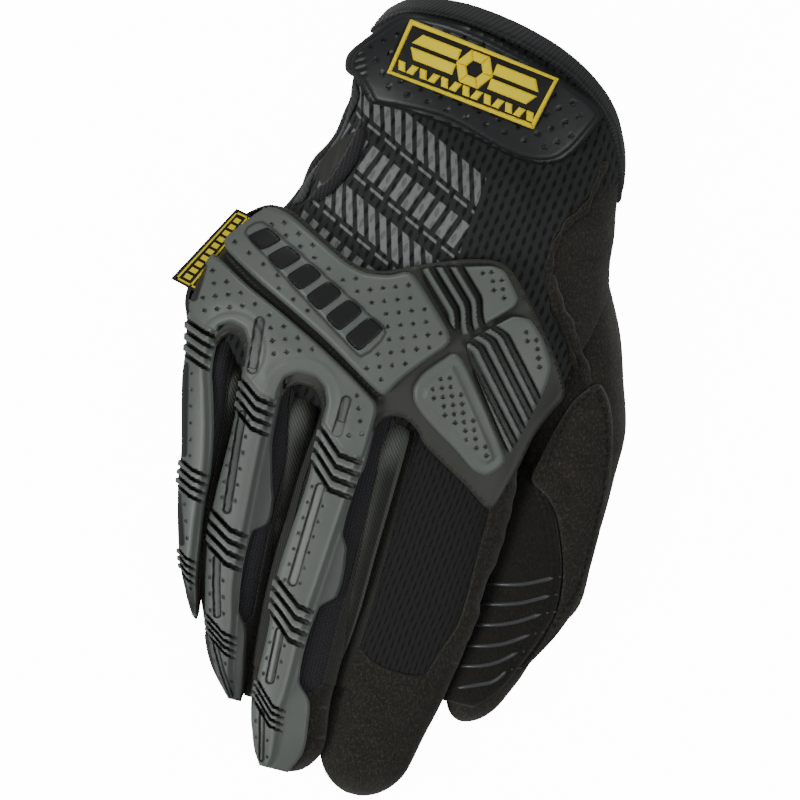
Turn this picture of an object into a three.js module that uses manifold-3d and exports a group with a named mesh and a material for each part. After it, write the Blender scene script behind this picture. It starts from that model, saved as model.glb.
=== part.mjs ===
// Mechanic glove for the right hand, lying on its palm. Millimetres, +Z up.
// +Y runs from the fingertips to the cuff and +X points to the thumb side.
// The hand, each finger and the thumb are lofted tubes with walls one cloth thick.
// Their union is cut along the seams into panels, and the rubber guards are laid on top.

import * as THREE from 'three';
import { mergeVertices } from 'three/addons/utils/BufferGeometryUtils.js';
import Module from 'manifold-3d';

// Sizes of the hand
const HAND_WIDTH = 100;        // between the outer seams of little and index finger at the knuckles
const HAND_LENGTH = 100;       // finger webs to the middle of the wrist strap
const HAND_HEIGHT = 38;        // resting surface to the knit over the knuckles
const WALL = 1.8;              // suede, knit and lining together
const SEAM = 0.3;              // gap that is left along each seam
const WEB_ROUND = 22;          // how far the front of the hand rounds off between the fingers
const WEB_REACH = 12;          // the hand's front end, past the line of the webs

// Sizes of the fingers, from the line of the webs to the tip
const INDEX_LENGTH = 118;
const INDEX_WIDTH = 34;
const MIDDLE_LENGTH = 116;
const MIDDLE_WIDTH = 26;
const RING_LENGTH = 99;
const RING_WIDTH = 20;
const LITTLE_LENGTH = 78.5;
const LITTLE_WIDTH = 16;
const THUMB_LENGTH = 89;
const THUMB_WIDTH = 28;
const FINGER_ROUND = 12;       // length of the rounded end of a finger
const THUMB_ROUND = 10;
const RING_LEAN = 0.15;        // rise of a section to the thumb side
const LITTLE_LEAN = 0.4;
const THUMB_LEAN = -0.1;

// Sizes of the trimmings
const BINDING_WIDTH = 5.5;
const BINDING_RISE = 0.8;      // how far the binding stands proud of the cloth
const SHEET_GAP = 0.7;         // cloth to the rubber sheet on it, which bridges the facets
const SHEET_THICK = 1.2;
const LAYER_GAP = 0.3;         // between one moulded layer and the next
const PLATE_THICK = 2.4;
const RIB_THICK = 3.2;
const STRAP_THICK = 1.2;
const STRAP_GUARD_THICK = 2.4;
const LABEL_LENGTH = 49;
const LABEL_HEIGHT = 18;
const LABEL_THICK = 0.9;
const LABEL_LINE = 1.1;
const LABEL_RELIEF = 0.9;
const TAG_THICK = 1.2;
const PATCH_THICK = 1.2;
const PATCH_RIDGES = 6;
const RIDGE_RISE = 0.9;
const RIDGE_WIDTH = 1.5;
const CHEVRON_RIBS = 3;
const CHEVRON_DROP = 0.27;     // how far a rib drops to the middle, of the finger's width
const GUARD_BEVEL = 0.8;       // how far the sides of plates and ribs lean in
const PLATE_STEP = 13;
const STRIP_END = 3;           // sides of a strip run straight over the last of the finger
const RIDGE_SLANT = 0.18;
const PANEL_THICK = 0.6;
const PANEL_BARS = 5;
const PANEL_MARGIN = 0.2;      // round a bar, of its share of the panel
const PAD_FLOOR = 0.3;         // low floor under the ribs of a pad, of PLATE_THICK
const FLANGE_LEAST = 0.2;      // thin sheet that shows beside a strip's plates at the least
const STRAP_LIP = 1.6;
const GUSSET_THICK = 1.0;
const TAG_SHARE = 0.36;        // height of the side tag, of HAND_HEIGHT
const NUT_RADIUS = 6.1;        // emblem on the label, corner to middle
const WING_WIDTH = 2;
const WING_PLACE = 2.35;       // the middle of a bar, above or below the label's middle

// Facets
const BODY_SIDES = 17;
const BODY_RINGS = 9;
const FINGER_SIDES = 12;
const FINGER_RINGS = 5;
const LINING_SIDES = 7;
const SECTION_TOP = 2.3;       // power of the curve over the top of a section
const SECTION_UNDER = 3.2;     // and under it, where it lies flat
const WAIST = 0.45;            // height share at which top and underside meet
const ROUND_RINGS = 2;
const ROUND_TURN = THREE.MathUtils.degToRad(80);
const LEVEL_STEPS = 4;
const STRIP_STEPS = 4;
const KNUCKLE_ROWS = 8;
const KNUCKLE_COLUMNS = 11;
const KNUCKLE_LEFT = THREE.MathUtils.degToRad(174);
const KNUCKLE_RIGHT = THREE.MathUtils.degToRad(12);
const BLEND_POWER = 40;
const BRIDGE_SLOPE = 0.24;
const BRIDGE_REACH = 0.5;
const REST_SHARE = 0.3;        // height of the upper side where no tube is, for the slopes
const PROBE = 0.5;
const TURN_PROBE = THREE.MathUtils.degToRad(1.5);
const STRAP_END = THREE.MathUtils.degToRad(186);
const LABEL_PLACE = [-0.025, 0.992];
const LABEL_TURN = THREE.MathUtils.degToRad(-6.5);
const MAX_SLOPE = 3;
const TIP_MARGIN = 2;
const PAST_TIP = 1.05;         // cuts run this far past a tip, of the finger's length
const PAST_THUMB = 1.1;
const THINNEST = 0.4;          // half of the thinnest section
const MITER_LEAST = 0.35;
const MITER_STRETCH = 2;
const KNUCKLE_FROM = 0.50;     // the layers over the knuckles, shares of HAND_LENGTH
const KNUCKLE_TO = -0.28;

// Seams
const SIDE_SEAM = 0.72;        // from a finger's middle line to its side seams, of half its width
const INDEX_SEAM = 0.68;       // the same to the seam of the index finger's suede side
const INDEX_KNIT_REACH = 0.62; // share of the index finger that its knit window takes
const THUMB_WEB_DROP = 0.08;
const WEBS = { little: 0.02, ring: -0.03, middle: -0.06, index: -0.07 };
const WALL_REACH = { littleRing: 0.80, ringMiddle: 0.82, middleIndex: 0.72 };
const KNIT_SIDE = -0.98;       // inner side of the index finger's window, of its half width
const KNIT_POINT = [-0.3, 0.04];

const COLOURS = {
  suede: { color: '#2b2925', roughness: 0.95, metalness: 0 },
  knit: { color: '#25262a', roughness: 0.9, metalness: 0 },
  twill: { color: '#43433f', roughness: 0.9, metalness: 0 },
  binding: { color: '#303133', roughness: 0.9, metalness: 0 },
  sheet: { color: '#3b3b37', roughness: 0.7, metalness: 0 },
  rubber: { color: '#6b6f6e', roughness: 0.6, metalness: 0 },
  strapRubber: { color: '#2d2e31', roughness: 0.6, metalness: 0 },
  plaque: { color: '#15161a', roughness: 0.5, metalness: 0 },
  yellow: { color: '#f3d52c', roughness: 0.5, metalness: 0 },
};

// The hand's sections: where it is along the hand (share of HAND_LENGTH), its two sides
// (shares of HAND_WIDTH), its lowest and highest point (shares of HAND_HEIGHT)
const HAND_ROWS = [
  { along: 1.26, left: -0.22, right: 0.34, low: -0.02, high: 0.76 },
  { along: 1.16, left: -0.285, right: 0.375, low: -0.02, high: 0.80 },
  { along: 1.08, left: -0.33, right: 0.405, low: -0.02, high: 0.83 },
  { along: 1.00, left: -0.36, right: 0.43, low: -0.02, high: 0.84 },
  { along: 0.90, left: -0.37, right: 0.46, low: -0.02, high: 0.83 },
  { along: 0.80, left: -0.36, right: 0.48, low: -0.02, high: 0.80 },
  { along: 0.72, left: -0.37, right: 0.487, low: -0.02, high: 0.80 },
  { along: 0.60, left: -0.42, right: 0.505, low: -0.02, high: 0.84 },
  { along: 0.48, left: -0.475, right: 0.525, low: -0.02, high: 0.90 },
  { along: 0.40, left: -0.535, right: 0.53, low: -0.02, high: 0.94 },
  { along: 0.30, left: -0.605, right: 0.515, low: -0.02, high: 0.98 },
  { along: 0.16, left: -0.640, right: 0.475, low: -0.02, high: 1.00 },
  { along: 0.04, left: -0.635, right: 0.44, low: 0.00, high: 0.98 },
  { along: -0.12, left: -0.62, right: 0.40, low: 0.06, high: 0.95 },
];

// A finger's sections: where it is (share of its own length, minus is inside the hand), its
// middle (share of HAND_WIDTH), half width (share of its width), lowest and highest point
// (shares of HAND_HEIGHT)
const INDEX_ROWS = [
  { along: -0.20, mid: 0.200, half: 0.40, low: 0.18, high: 0.70 },
  { along: 0.04, mid: 0.204, half: 0.525, low: 0.19, high: 0.80 },
  { along: 0.25, mid: 0.202, half: 0.525, low: 0.18, high: 0.70 },
  { along: 0.42, mid: 0.202, half: 0.525, low: 0.15, high: 0.62 },
  { along: 0.60, mid: 0.190, half: 0.51, low: 0.10, high: 0.53 },
  { along: 0.76, mid: 0.169, half: 0.47, low: 0.05, high: 0.45 },
  { along: 0.90, mid: 0.155, half: 0.40, low: 0.00, high: 0.38 },
  { along: 1.00, mid: 0.150, half: 0.365, low: -0.02, high: 0.33 },
];
const MIDDLE_ROWS = [
  { along: -0.20, mid: -0.100, half: 0.42, low: 0.18, high: 0.80 },
  { along: 0.04, mid: -0.101, half: 0.47, low: 0.18, high: 0.90 },
  { along: 0.25, mid: -0.117, half: 0.53, low: 0.18, high: 0.83 },
  { along: 0.42, mid: -0.117, half: 0.53, low: 0.16, high: 0.76 },
  { along: 0.60, mid: -0.116, half: 0.515, low: 0.12, high: 0.68 },
  { along: 0.78, mid: -0.107, half: 0.475, low: 0.06, high: 0.57 },
  { along: 0.90, mid: -0.083, half: 0.445, low: 0.00, high: 0.47 },
  { along: 1.00, mid: -0.064, half: 0.39, low: -0.02, high: 0.40 },
];
const RING_ROWS = [
  { along: -0.20, mid: -0.370, half: 0.40, low: 0.15, high: 0.80 },
  { along: 0.04, mid: -0.388, half: 0.44, low: 0.15, high: 0.87 },
  { along: 0.25, mid: -0.366, half: 0.525, low: 0.14, high: 0.80 },
  { along: 0.45, mid: -0.360, half: 0.52, low: 0.12, high: 0.72 },
  { along: 0.62, mid: -0.348, half: 0.49, low: 0.07, high: 0.62 },
  { along: 0.78, mid: -0.329, half: 0.43, low: 0.02, high: 0.52 },
  { along: 0.90, mid: -0.306, half: 0.31, low: -0.02, high: 0.45 },
  { along: 1.00, mid: -0.262, half: 0.27, low: -0.02, high: 0.40 },
];
const LITTLE_ROWS = [
  { along: -0.16, mid: -0.545, half: 0.40, low: 0.10, high: 0.68 },
  { along: 0.03, mid: -0.565, half: 0.43, low: 0.09, high: 0.78 },
  { along: 0.20, mid: -0.550, half: 0.44, low: 0.07, high: 0.74 },
  { along: 0.40, mid: -0.526, half: 0.33, low: 0.05, high: 0.67 },
  { along: 0.60, mid: -0.509, half: 0.245, low: 0.02, high: 0.58 },
  { along: 0.75, mid: -0.488, half: 0.21, low: 0.00, high: 0.50 },
  { along: 0.88, mid: -0.464, half: 0.16, low: -0.02, high: 0.44 },
  { along: 1.00, mid: -0.435, half: 0.145, low: -0.02, high: 0.38 },
];
const THUMB_ROWS = [
  { along: -0.67, mid: 0.37, half: 0.35, low: 0.05, high: 0.60 },
  { along: -0.45, mid: 0.440, half: 0.46, low: 0.00, high: 0.62 },
  { along: -0.27, mid: 0.490, half: 0.50, low: -0.02, high: 0.62 },
  { along: -0.09, mid: 0.525, half: 0.535, low: -0.02, high: 0.60 },
  { along: 0.09, mid: 0.537, half: 0.515, low: -0.02, high: 0.57 },
  { along: 0.27, mid: 0.537, half: 0.49, low: -0.02, high: 0.54 },
  { along: 0.45, mid: 0.539, half: 0.49, low: -0.02, high: 0.50 },
  { along: 0.54, mid: 0.530, half: 0.48, low: -0.02, high: 0.47 },
  { along: 0.63, mid: 0.504, half: 0.41, low: -0.02, high: 0.44 },
  { along: 0.72, mid: 0.480, half: 0.36, low: -0.02, high: 0.41 },
  { along: 0.81, mid: 0.458, half: 0.33, low: -0.02, high: 0.38 },
  { along: 0.90, mid: 0.432, half: 0.30, low: -0.02, high: 0.35 },
  { along: 1.00, mid: 0.412, half: 0.28, low: -0.02, high: 0.32 },
];

// Outlines seen from above, as [share of HAND_WIDTH, share of HAND_LENGTH]
const CUFF_EDGE = [
  [-0.44, 0.97], [-0.36, 1.06], [-0.30, 1.13], [-0.24, 1.17], [-0.12, 1.186],
  [0.00, 1.178], [0.12, 1.155], [0.24, 1.115], [0.34, 1.055], [0.41, 0.985],
  [0.455, 0.90], [0.48, 0.83], [0.56, 0.80],
];
const KNIT_EDGE = [
  [-0.80, 1.30], [0.60, 1.30], [0.455, 0.90], [0.43, 0.83], [0.34, 0.63], [0.32, 0.51],
  [0.36, 0.40], [0.43, 0.31], [0.50, 0.20], [0.47, 0.10], [0.42, 0.00], [0.42, -0.20],
  [-0.80, -0.20],
];
const THUMB_SEAM = [
  [0.44, -0.04], [0.475, 0.06], [0.535, 0.16], [0.85, 0.22],
];
const BASE_OUTLINE = [
  [-0.515, 0.472], [-0.45, 0.467], [-0.40, 0.445], [-0.32, 0.40], [-0.25, 0.365],
  [-0.20, 0.352], [-0.14, 0.357], [-0.08, 0.385], [0.00, 0.420], [0.10, 0.452], [0.17, 0.467],
  [0.22, 0.455], [0.27, 0.415], [0.35, 0.33], [0.42, 0.22], [0.475, 0.13], [0.45, 0.05],
  [0.42, -0.05], [0.39, -0.17], [0.35, -0.26], [0.27, -0.21], [0.16, -0.145], [0.08, -0.10],
  [0.04, -0.065], [0.00, -0.05], [-0.03, -0.065], [-0.05, -0.10], [-0.05, -0.115],
  [-0.21, -0.115], [-0.21, -0.08], [-0.24, -0.04], [-0.28, -0.025], [-0.32, -0.025],
  [-0.35, -0.012], [-0.475, -0.012], [-0.495, 0.04],
  [-0.525, 0.065], [-0.555, 0.05], [-0.57, 0.02], [-0.625, 0.02],
  [-0.66, 0.08], [-0.70, 0.14], [-0.70, 0.26], [-0.66, 0.34], [-0.60, 0.41],
];
const UPPER_PLATE = [
  [-0.515, 0.462], [-0.45, 0.455], [-0.36, 0.405], [-0.25, 0.345], [-0.19, 0.33],
  [-0.13, 0.337], [-0.06, 0.372], [0.03, 0.30], [0.12, 0.215], [0.04, 0.125],
  [-0.01, 0.06], [-0.045, 0.00], [-0.12, 0.045], [-0.25, 0.13], [-0.38, 0.195],
  [-0.50, 0.24], [-0.62, 0.31], [-0.64, 0.345], [-0.59, 0.41],
];
const LOWER_PLATE = [
  [-0.67, 0.30], [-0.61, 0.275], [-0.52, 0.22], [-0.40, 0.17], [-0.28, 0.11],
  [-0.16, 0.04], [-0.06, -0.015],
  [-0.055, -0.105], [-0.20, -0.105], [-0.22, -0.02], [-0.26, 0.015], [-0.31, 0.02],
  [-0.36, 0.00], [-0.465, 0.00], [-0.475, 0.05], [-0.50, 0.09],
  [-0.54, 0.105], [-0.575, 0.085], [-0.66, 0.09], [-0.70, 0.14], [-0.70, 0.22],
];
const NAME_PANEL = [
  [-0.57, 0.375], [-0.53, 0.415], [-0.085, 0.185], [-0.14, 0.095],
];
const UPPER_PAD_HEAD = [
  [0.13, 0.44], [0.19, 0.455], [0.235, 0.42], [0.265, 0.375], [0.25, 0.345], [0.205, 0.29],
  [0.185, 0.35],
];
const UPPER_RIB_FIELD = [
  [-0.04, 0.39], [0.14, 0.44], [0.195, 0.35], [0.215, 0.295], [0.145, 0.22],
];
const OUTER_PAD = [
  [0.23, 0.285], [0.27, 0.315], [0.325, 0.325], [0.38, 0.27], [0.415, 0.19], [0.40, 0.10],
  [0.39, 0.07], [0.28, 0.235],
];
const OUTER_RIB_FIELD = [
  [0.160, 0.205], [0.24, 0.29], [0.285, 0.24], [0.395, 0.08], [0.385, 0.02],
  [0.365, -0.05], [0.345, -0.045], [0.25, 0.08],
];
const LOWER_PAD = [
  [0.13, 0.185], [0.05, 0.10], [0.03, 0.04], [0.05, -0.01], [0.12, -0.055], [0.20, -0.10],
  [0.27, -0.145], [0.315, -0.145], [0.345, -0.10], [0.335, -0.06], [0.24, 0.05],
];

const STRAP_GUARD = [
  [-0.45, 0.92], [-0.42, 0.99], [-0.36, 1.05], [-0.27, 1.123], [-0.15, 1.13], [0.00, 1.11],
  [0.15, 1.075], [0.27, 1.035], [0.36, 0.995], [0.385, 0.97], [0.36, 0.91], [0.325, 0.84],
  [0.28, 0.795], [0.20, 0.777], [0.12, 0.785], [0.05, 0.805], [-0.05, 0.825], [-0.15, 0.84],
  [-0.25, 0.845], [-0.31, 0.84], [-0.34, 0.875], [-0.37, 0.90],
];
const GUSSET = [
  [-0.31, 0.76], [-0.36, 0.69], [-0.44, 0.62], [-0.44, 0.56], [-0.39, 0.56], [-0.355, 0.62],
  [-0.335, 0.70],
];
const TAG = [[-0.612, 0.437], [-0.752, 0.186], [-0.60, 0.145], [-0.50, 0.415]];

// Ribs over the index knuckle: each runs from one plan point to another, with its width as a
// share of HAND_WIDTH. They lie side by side between the pads.
const UPPER_RIBS = [
  { from: [0.005, 0.395], to: [0.155, 0.235], width: 0.021 },
  { from: [0.052, 0.410], to: [0.175, 0.262], width: 0.021 },
  { from: [0.098, 0.425], to: [0.190, 0.300], width: 0.021 },
];
const OUTER_RIBS = [
  { from: [0.175, 0.215], to: [0.352, -0.025], width: 0.021 },
  { from: [0.195, 0.240], to: [0.368, 0.015], width: 0.021 },
  { from: [0.220, 0.262], to: [0.380, 0.062], width: 0.021 },
];

// Moulded strip on the back of a finger: where it is along the finger (share of its length),
// and the left side, plate's right side and sheet's right side (shares of its half width)
const MIDDLE_STRIP = [
  { along: 0.106, left: -0.86, right: 0.36, flange: 0.42 },
  { along: 0.26, left: -0.68, right: 0.38, flange: 0.46 },
  { along: 0.40, left: -0.72, right: 0.28, flange: 0.50 },
  { along: 0.52, left: -0.82, right: 0.20, flange: 0.45 },
  { along: 0.62, left: -0.82, right: 0.14, flange: 0.24 },
  { along: 0.76, left: -0.80, right: 0.14, flange: 0.30 },
  { along: 0.86, left: -0.86, right: 0.05, flange: 0.62 },
  { along: 0.972, left: -0.70, right: 0.10, flange: 0.60 },
];
const RING_STRIP = [
  { along: 0.02, left: -0.78, right: 0.32, flange: 0.45 },
  { along: 0.15, left: -0.84, right: 0.10, flange: 0.30 },
  { along: 0.40, left: -0.84, right: 0.16, flange: 0.55 },
  { along: 0.55, left: -0.84, right: 0.20, flange: 0.45 },
  { along: 0.75, left: -0.86, right: 0.26, flange: 0.45 },
  { along: 0.88, left: -0.86, right: 0.30, flange: 0.60 },
  { along: 0.968, left: -0.70, right: 0.30, flange: 0.60 },
];
const LITTLE_STRIP = [
  { along: 0.02, left: -0.88, right: 0.05, flange: 0.30 },
  { along: 0.20, left: -0.90, right: 0.10, flange: 0.35 },
  { along: 0.45, left: -0.90, right: 0.05, flange: 0.30 },
  { along: 0.70, left: -0.90, right: 0.00, flange: 0.25 },
  { along: 0.960, left: -0.74, right: 0.00, flange: 0.25 },
];
// Plates (one block) and groups of chevron ribs along each strip, as shares of the length
const MIDDLE_BLOCKS = [
  { kind: 'ribs', from: 0.125, to: 0.235 }, { kind: 'plate', from: 0.245, to: 0.515 },
  { kind: 'ribs', from: 0.525, to: 0.615 }, { kind: 'plate', from: 0.625, to: 0.775 },
  { kind: 'ribs', from: 0.785, to: 0.850 }, { kind: 'plate', from: 0.860, to: 0.955 },
];
const RING_BLOCKS = [
  { kind: 'ribs', from: 0.030, to: 0.125 }, { kind: 'plate', from: 0.135, to: 0.435 },
  { kind: 'ribs', from: 0.445, to: 0.550 }, { kind: 'plate', from: 0.560, to: 0.745 },
  { kind: 'ribs', from: 0.755, to: 0.815 }, { kind: 'plate', from: 0.825, to: 0.948 },
];
const LITTLE_BLOCKS = [
  { kind: 'plate', from: 0.030, to: 0.415 }, { kind: 'ribs', from: 0.425, to: 0.535 },
  { kind: 'plate', from: 0.545, to: 0.730 }, { kind: 'ribs', from: 0.740, to: 0.810 },
  { kind: 'plate', from: 0.820, to: 0.935 },
];
// Ridged patch on the thumb: sides as shares of the thumb's half width
const PATCH_ROWS = [
  { along: 0.38, left: -0.55, right: 0.10 },
  { along: 0.45, left: -0.88, right: 0.48 },
  { along: 0.60, left: -0.88, right: 0.62 },
  { along: 0.75, left: -0.88, right: 0.60 },
  { along: 0.88, left: -0.80, right: 0.30 },
];

const solids = await Module();
solids.setup();

// Turns a closed geometry into a solid whose faces point out.
function solidOf(geometry) {
  geometry.deleteAttribute('normal');
  geometry.deleteAttribute('uv');
  const merged = mergeVertices(geometry, 1e-4);
  const points = merged.getAttribute('position').array;
  const corners = Uint32Array.from(merged.index.array);
  if (signedVolume(points, corners) < 0) {
    for (let i = 0; i < corners.length; i += 3) {
      const first = corners[i];
      corners[i] = corners[i + 1];
      corners[i + 1] = first;
    }
  }
  return new solids.Manifold(
    new solids.Mesh({ numProp: 3, vertProperties: points, triVerts: corners }),
  );
}

// Six times the volume that a mesh's faces enclose, minus where they point in.
function signedVolume(points, corners) {
  const a = new THREE.Vector3();
  const b = new THREE.Vector3();
  const c = new THREE.Vector3();
  let sum = 0;
  for (let i = 0; i < corners.length; i += 3) {
    a.fromArray(points, corners[i] * 3);
    b.fromArray(points, corners[i + 1] * 3);
    c.fromArray(points, corners[i + 2] * 3);
    sum += a.dot(b.cross(c));
  }
  return sum;
}

// Joins rings of equal length into one closed body with a flat fan at each end.
function loft(rings) {
  const sides = rings[0].length;
  const points = rings.flat();
  const corners = [];
  for (let row = 0; row + 1 < rings.length; row += 1) {
    for (let i = 0; i < sides; i += 1) {
      const next = (i + 1) % sides;
      const a = row * sides + i;
      const b = row * sides + next;
      corners.push(a, b, b + sides, a, b + sides, a + sides);
    }
  }
  const last = (rings.length - 1) * sides;
  for (let i = 1; i + 1 < sides; i += 1) {
    corners.push(0, i + 1, i);
    corners.push(last, last + i, last + i + 1);
  }
  const geometry = new THREE.BufferGeometry().setFromPoints(points);
  geometry.setIndex(corners);
  return solidOf(geometry);
}

// A slab between two grids of points of the same shape: grid[row][column].
function slab(lower, upper) {
  const rows = lower.length;
  const columns = lower[0].length;
  const points = [...lower.flat(), ...upper.flat()];
  const lift = rows * columns;
  const corners = [];
  const quad = (a, b, c, d) => corners.push(a, b, c, a, c, d);
  for (let r = 0; r + 1 < rows; r += 1) {
    for (let c = 0; c + 1 < columns; c += 1) {
      const a = r * columns + c;
      quad(a, a + columns, a + columns + 1, a + 1);
      quad(lift + a, lift + a + 1, lift + a + columns + 1, lift + a + columns);
    }
  }
  for (let r = 0; r + 1 < rows; r += 1) {
    const a = r * columns;
    const b = a + columns - 1;
    quad(a, lift + a, lift + a + columns, a + columns);
    quad(b, b + columns, lift + b + columns, lift + b);
  }
  for (let c = 0; c + 1 < columns; c += 1) {
    const a = c;
    const b = (rows - 1) * columns + c;
    quad(a, a + 1, lift + a + 1, lift + a);
    quad(b, lift + b, lift + b + 1, b + 1);
  }
  const geometry = new THREE.BufferGeometry().setFromPoints(points);
  geometry.setIndex(corners);
  return solidOf(geometry);
}

// Reads one column of a table at any place along it, on a smooth curve through its rows.
function reader(rows, key, column) {
  const sorted = [...rows].sort((a, b) => a[key] - b[key]);
  const slope = (i) => {
    const before = sorted[Math.max(i - 1, 0)];
    const after = sorted[Math.min(i + 1, sorted.length - 1)];
    return (after[column] - before[column]) / (after[key] - before[key]);
  };
  return (place) => {
    const clamped = THREE.MathUtils.clamp(place, sorted[0][key], sorted.at(-1)[key]);
    let i = 0;
    while (i + 2 < sorted.length && clamped > sorted[i + 1][key]) i += 1;
    const from = sorted[i];
    const to = sorted[i + 1];
    const span = to[key] - from[key];
    const t = (clamped - from[key]) / span;
    const t2 = t * t;
    const t3 = t2 * t;
    return from[column] * (2 * t3 - 3 * t2 + 1) + slope(i) * span * (t3 - 2 * t2 + t)
      + to[column] * (3 * t2 - 2 * t3) + slope(i + 1) * span * (t3 - t2);
  };
}

// A tube along Y: section(y, inset) gives its middle, half width, waist height and how far
// it reaches up and down, all less the inset, and rounds off over the last stretch.
class Tube {
  constructor({ read, root, tip, round, sides, rings, lean = 0 }) {
    Object.assign(this, { read, root, tip, round, sides, rings, lean });
  }

  section(y, inset = 0) {
    const base = this.read(y);
    const left = Math.max(y - (this.tip + inset), 0);
    const round = this.round - inset;
    const fade = left < round ? Math.sqrt(1 - ((round - left) / round) ** 2) : 1;
    const waist = base.low + WAIST * (base.high - base.low);
    return {
      middle: base.middle,
      half: Math.max(base.half - inset, THINNEST) * fade,
      waist,
      up: Math.max(base.high - waist - inset, THINNEST) * fade,
      down: Math.max(waist - base.low - inset, THINNEST) * fade,
    };
  }

  leftEdge(y) {
    const { middle, half } = this.section(y);
    return middle - half;
  }

  rightEdge(y) {
    const { middle, half } = this.section(y);
    return middle + half;
  }

  // Point of the section at an angle, 0 towards +X and a quarter turn up.
  point(y, angle, inset = 0) {
    const { middle, half, waist, up, down } = this.section(y, inset);
    const c = Math.cos(angle);
    const s = Math.sin(angle);
    const power = 2 / (s >= 0 ? SECTION_TOP : SECTION_UNDER);
    const across = Math.sign(c) * Math.abs(c) ** power * half;
    const rise = Math.sign(s) * Math.abs(s) ** power * (s >= 0 ? up : down);
    return new THREE.Vector3(middle + across, y, waist + rise + this.lean * across);
  }

  // Height of the top of the tube at a place seen from above.
  top(x, y) {
    const { middle, half, waist, up } = this.section(y);
    const share = Math.min(Math.abs(x - middle) / half, 1);
    const rise = up * (1 - share ** SECTION_TOP) ** (1 / SECTION_TOP);
    return waist + rise + this.lean * (x - middle);
  }

  solid(inset = 0, sides = this.sides) {
    const places = [];
    const tip = this.tip + inset;
    const round = this.round - inset;
    const straight = tip + round;
    for (let i = 0; i < this.rings; i += 1) {
      places.push(this.root + (straight - this.root) * (i / this.rings));
    }
    for (let i = 0; i <= ROUND_RINGS; i += 1) {
      const turn = (i / ROUND_RINGS) * ROUND_TURN;
      places.push(straight - round * Math.sin(turn));
    }
    const rings = places.map((y) => {
      const ring = [];
      for (let i = 0; i < sides; i += 1) {
        ring.push(this.point(y, (i / sides) * 2 * Math.PI, inset));
      }
      return ring;
    });
    return loft(rings);
  }
}

function handTube() {
  const left = reader(HAND_ROWS, 'along', 'left');
  const right = reader(HAND_ROWS, 'along', 'right');
  const low = reader(HAND_ROWS, 'along', 'low');
  const high = reader(HAND_ROWS, 'along', 'high');
  const read = (y) => {
    const along = y / HAND_LENGTH;
    const a = left(along) * HAND_WIDTH;
    const b = right(along) * HAND_WIDTH;
    return {
      middle: (a + b) / 2,
      half: (b - a) / 2,
      low: low(along) * HAND_HEIGHT,
      high: high(along) * HAND_HEIGHT,
    };
  };
  return new Tube({
    read,
    root: HAND_ROWS[0].along * HAND_LENGTH,
    tip: -WEB_REACH,
    round: WEB_ROUND,
    sides: BODY_SIDES,
    rings: BODY_RINGS,
  });
}

function fingerTube(rows, length, width, round, lean = 0) {
  const mid = reader(rows, 'along', 'mid');
  const half = reader(rows, 'along', 'half');
  const low = reader(rows, 'along', 'low');
  const high = reader(rows, 'along', 'high');
  const read = (y) => {
    const along = -y / length;
    return {
      middle: mid(along) * HAND_WIDTH,
      half: half(along) * width,
      low: low(along) * HAND_HEIGHT,
      high: high(along) * HAND_HEIGHT,
    };
  };
  return new Tube({
    read,
    root: -rows[0].along * length,
    tip: -length,
    round,
    sides: FINGER_SIDES,
    rings: FINGER_RINGS,
    lean,
  });
}

const hand = handTube();
const index = fingerTube(INDEX_ROWS, INDEX_LENGTH, INDEX_WIDTH, FINGER_ROUND);
const middle = fingerTube(MIDDLE_ROWS, MIDDLE_LENGTH, MIDDLE_WIDTH, FINGER_ROUND);
const ring = fingerTube(RING_ROWS, RING_LENGTH, RING_WIDTH, FINGER_ROUND, RING_LEAN);
const little = fingerTube(LITTLE_ROWS, LITTLE_LENGTH, LITTLE_WIDTH, FINGER_ROUND, LITTLE_LEAN);
const thumb = fingerTube(THUMB_ROWS, THUMB_LENGTH, THUMB_WIDTH, THUMB_ROUND, THUMB_LEAN);
const tubes = [hand, index, middle, ring, little, thumb];

const onPlan = ([across, along]) => new THREE.Vector2(across * HAND_WIDTH, along * HAND_LENGTH);

// Moves a plan outline outwards by a distance, or inwards by a negative one.
function grow(outline, distance) {
  const side = THREE.ShapeUtils.area(outline) > 0 ? 1 : -1;
  return outline.map((point, i) => {
    const before = outline.at(i - 1);
    const after = outline[(i + 1) % outline.length];
    const one = new THREE.Vector2(point.y - before.y, before.x - point.x).normalize();
    const two = new THREE.Vector2(after.y - point.y, point.x - after.x).normalize();
    const miter = one.clone().add(two).normalize();
    const stretch = Math.min(1 / Math.max(miter.dot(one), MITER_LEAST), MITER_STRETCH);
    return point.clone().addScaledVector(miter, distance * stretch * side);
  });
}

// An upright block over a plan outline, from below the resting surface to above the glove.
function prism(outline) {
  const shape = new THREE.Shape(outline);
  const height = 3 * HAND_HEIGHT;
  const geometry = new THREE.ExtrudeGeometry(shape, { depth: height, bevelEnabled: false });
  geometry.translate(0, 0, -HAND_HEIGHT);
  return solidOf(geometry);
}

// Everything above a height, flat or following a tube's waist.
function above(tube, drop = 0) {
  const reach = HAND_WIDTH;
  const roof = 3 * HAND_HEIGHT;
  const rings = [];
  const from = HAND_LENGTH * 1.3;
  const to = -INDEX_LENGTH * 1.1;
  for (let i = 0; i <= LEVEL_STEPS; i += 1) {
    const y = from + (to - from) * (i / LEVEL_STEPS);
    const { waist, middle: mid } = tube.section(y);
    const tilt = (x) => waist - drop + tube.lean * (x - mid);
    rings.push([
      new THREE.Vector3(-reach, y, tilt(-reach)),
      new THREE.Vector3(reach, y, tilt(reach)),
      new THREE.Vector3(reach, y, roof),
      new THREE.Vector3(-reach, y, roof),
    ]);
  }
  return loft(rings);
}

function aboveFloor(height) {
  const reach = 4 * HAND_LENGTH;
  const geometry = new THREE.BoxGeometry(reach, reach, reach);
  geometry.translate(0, 0, reach / 2 + height);
  return solidOf(geometry);
}

const unite = (list) => list.reduce((sum, one) => sum.add(one));

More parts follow.
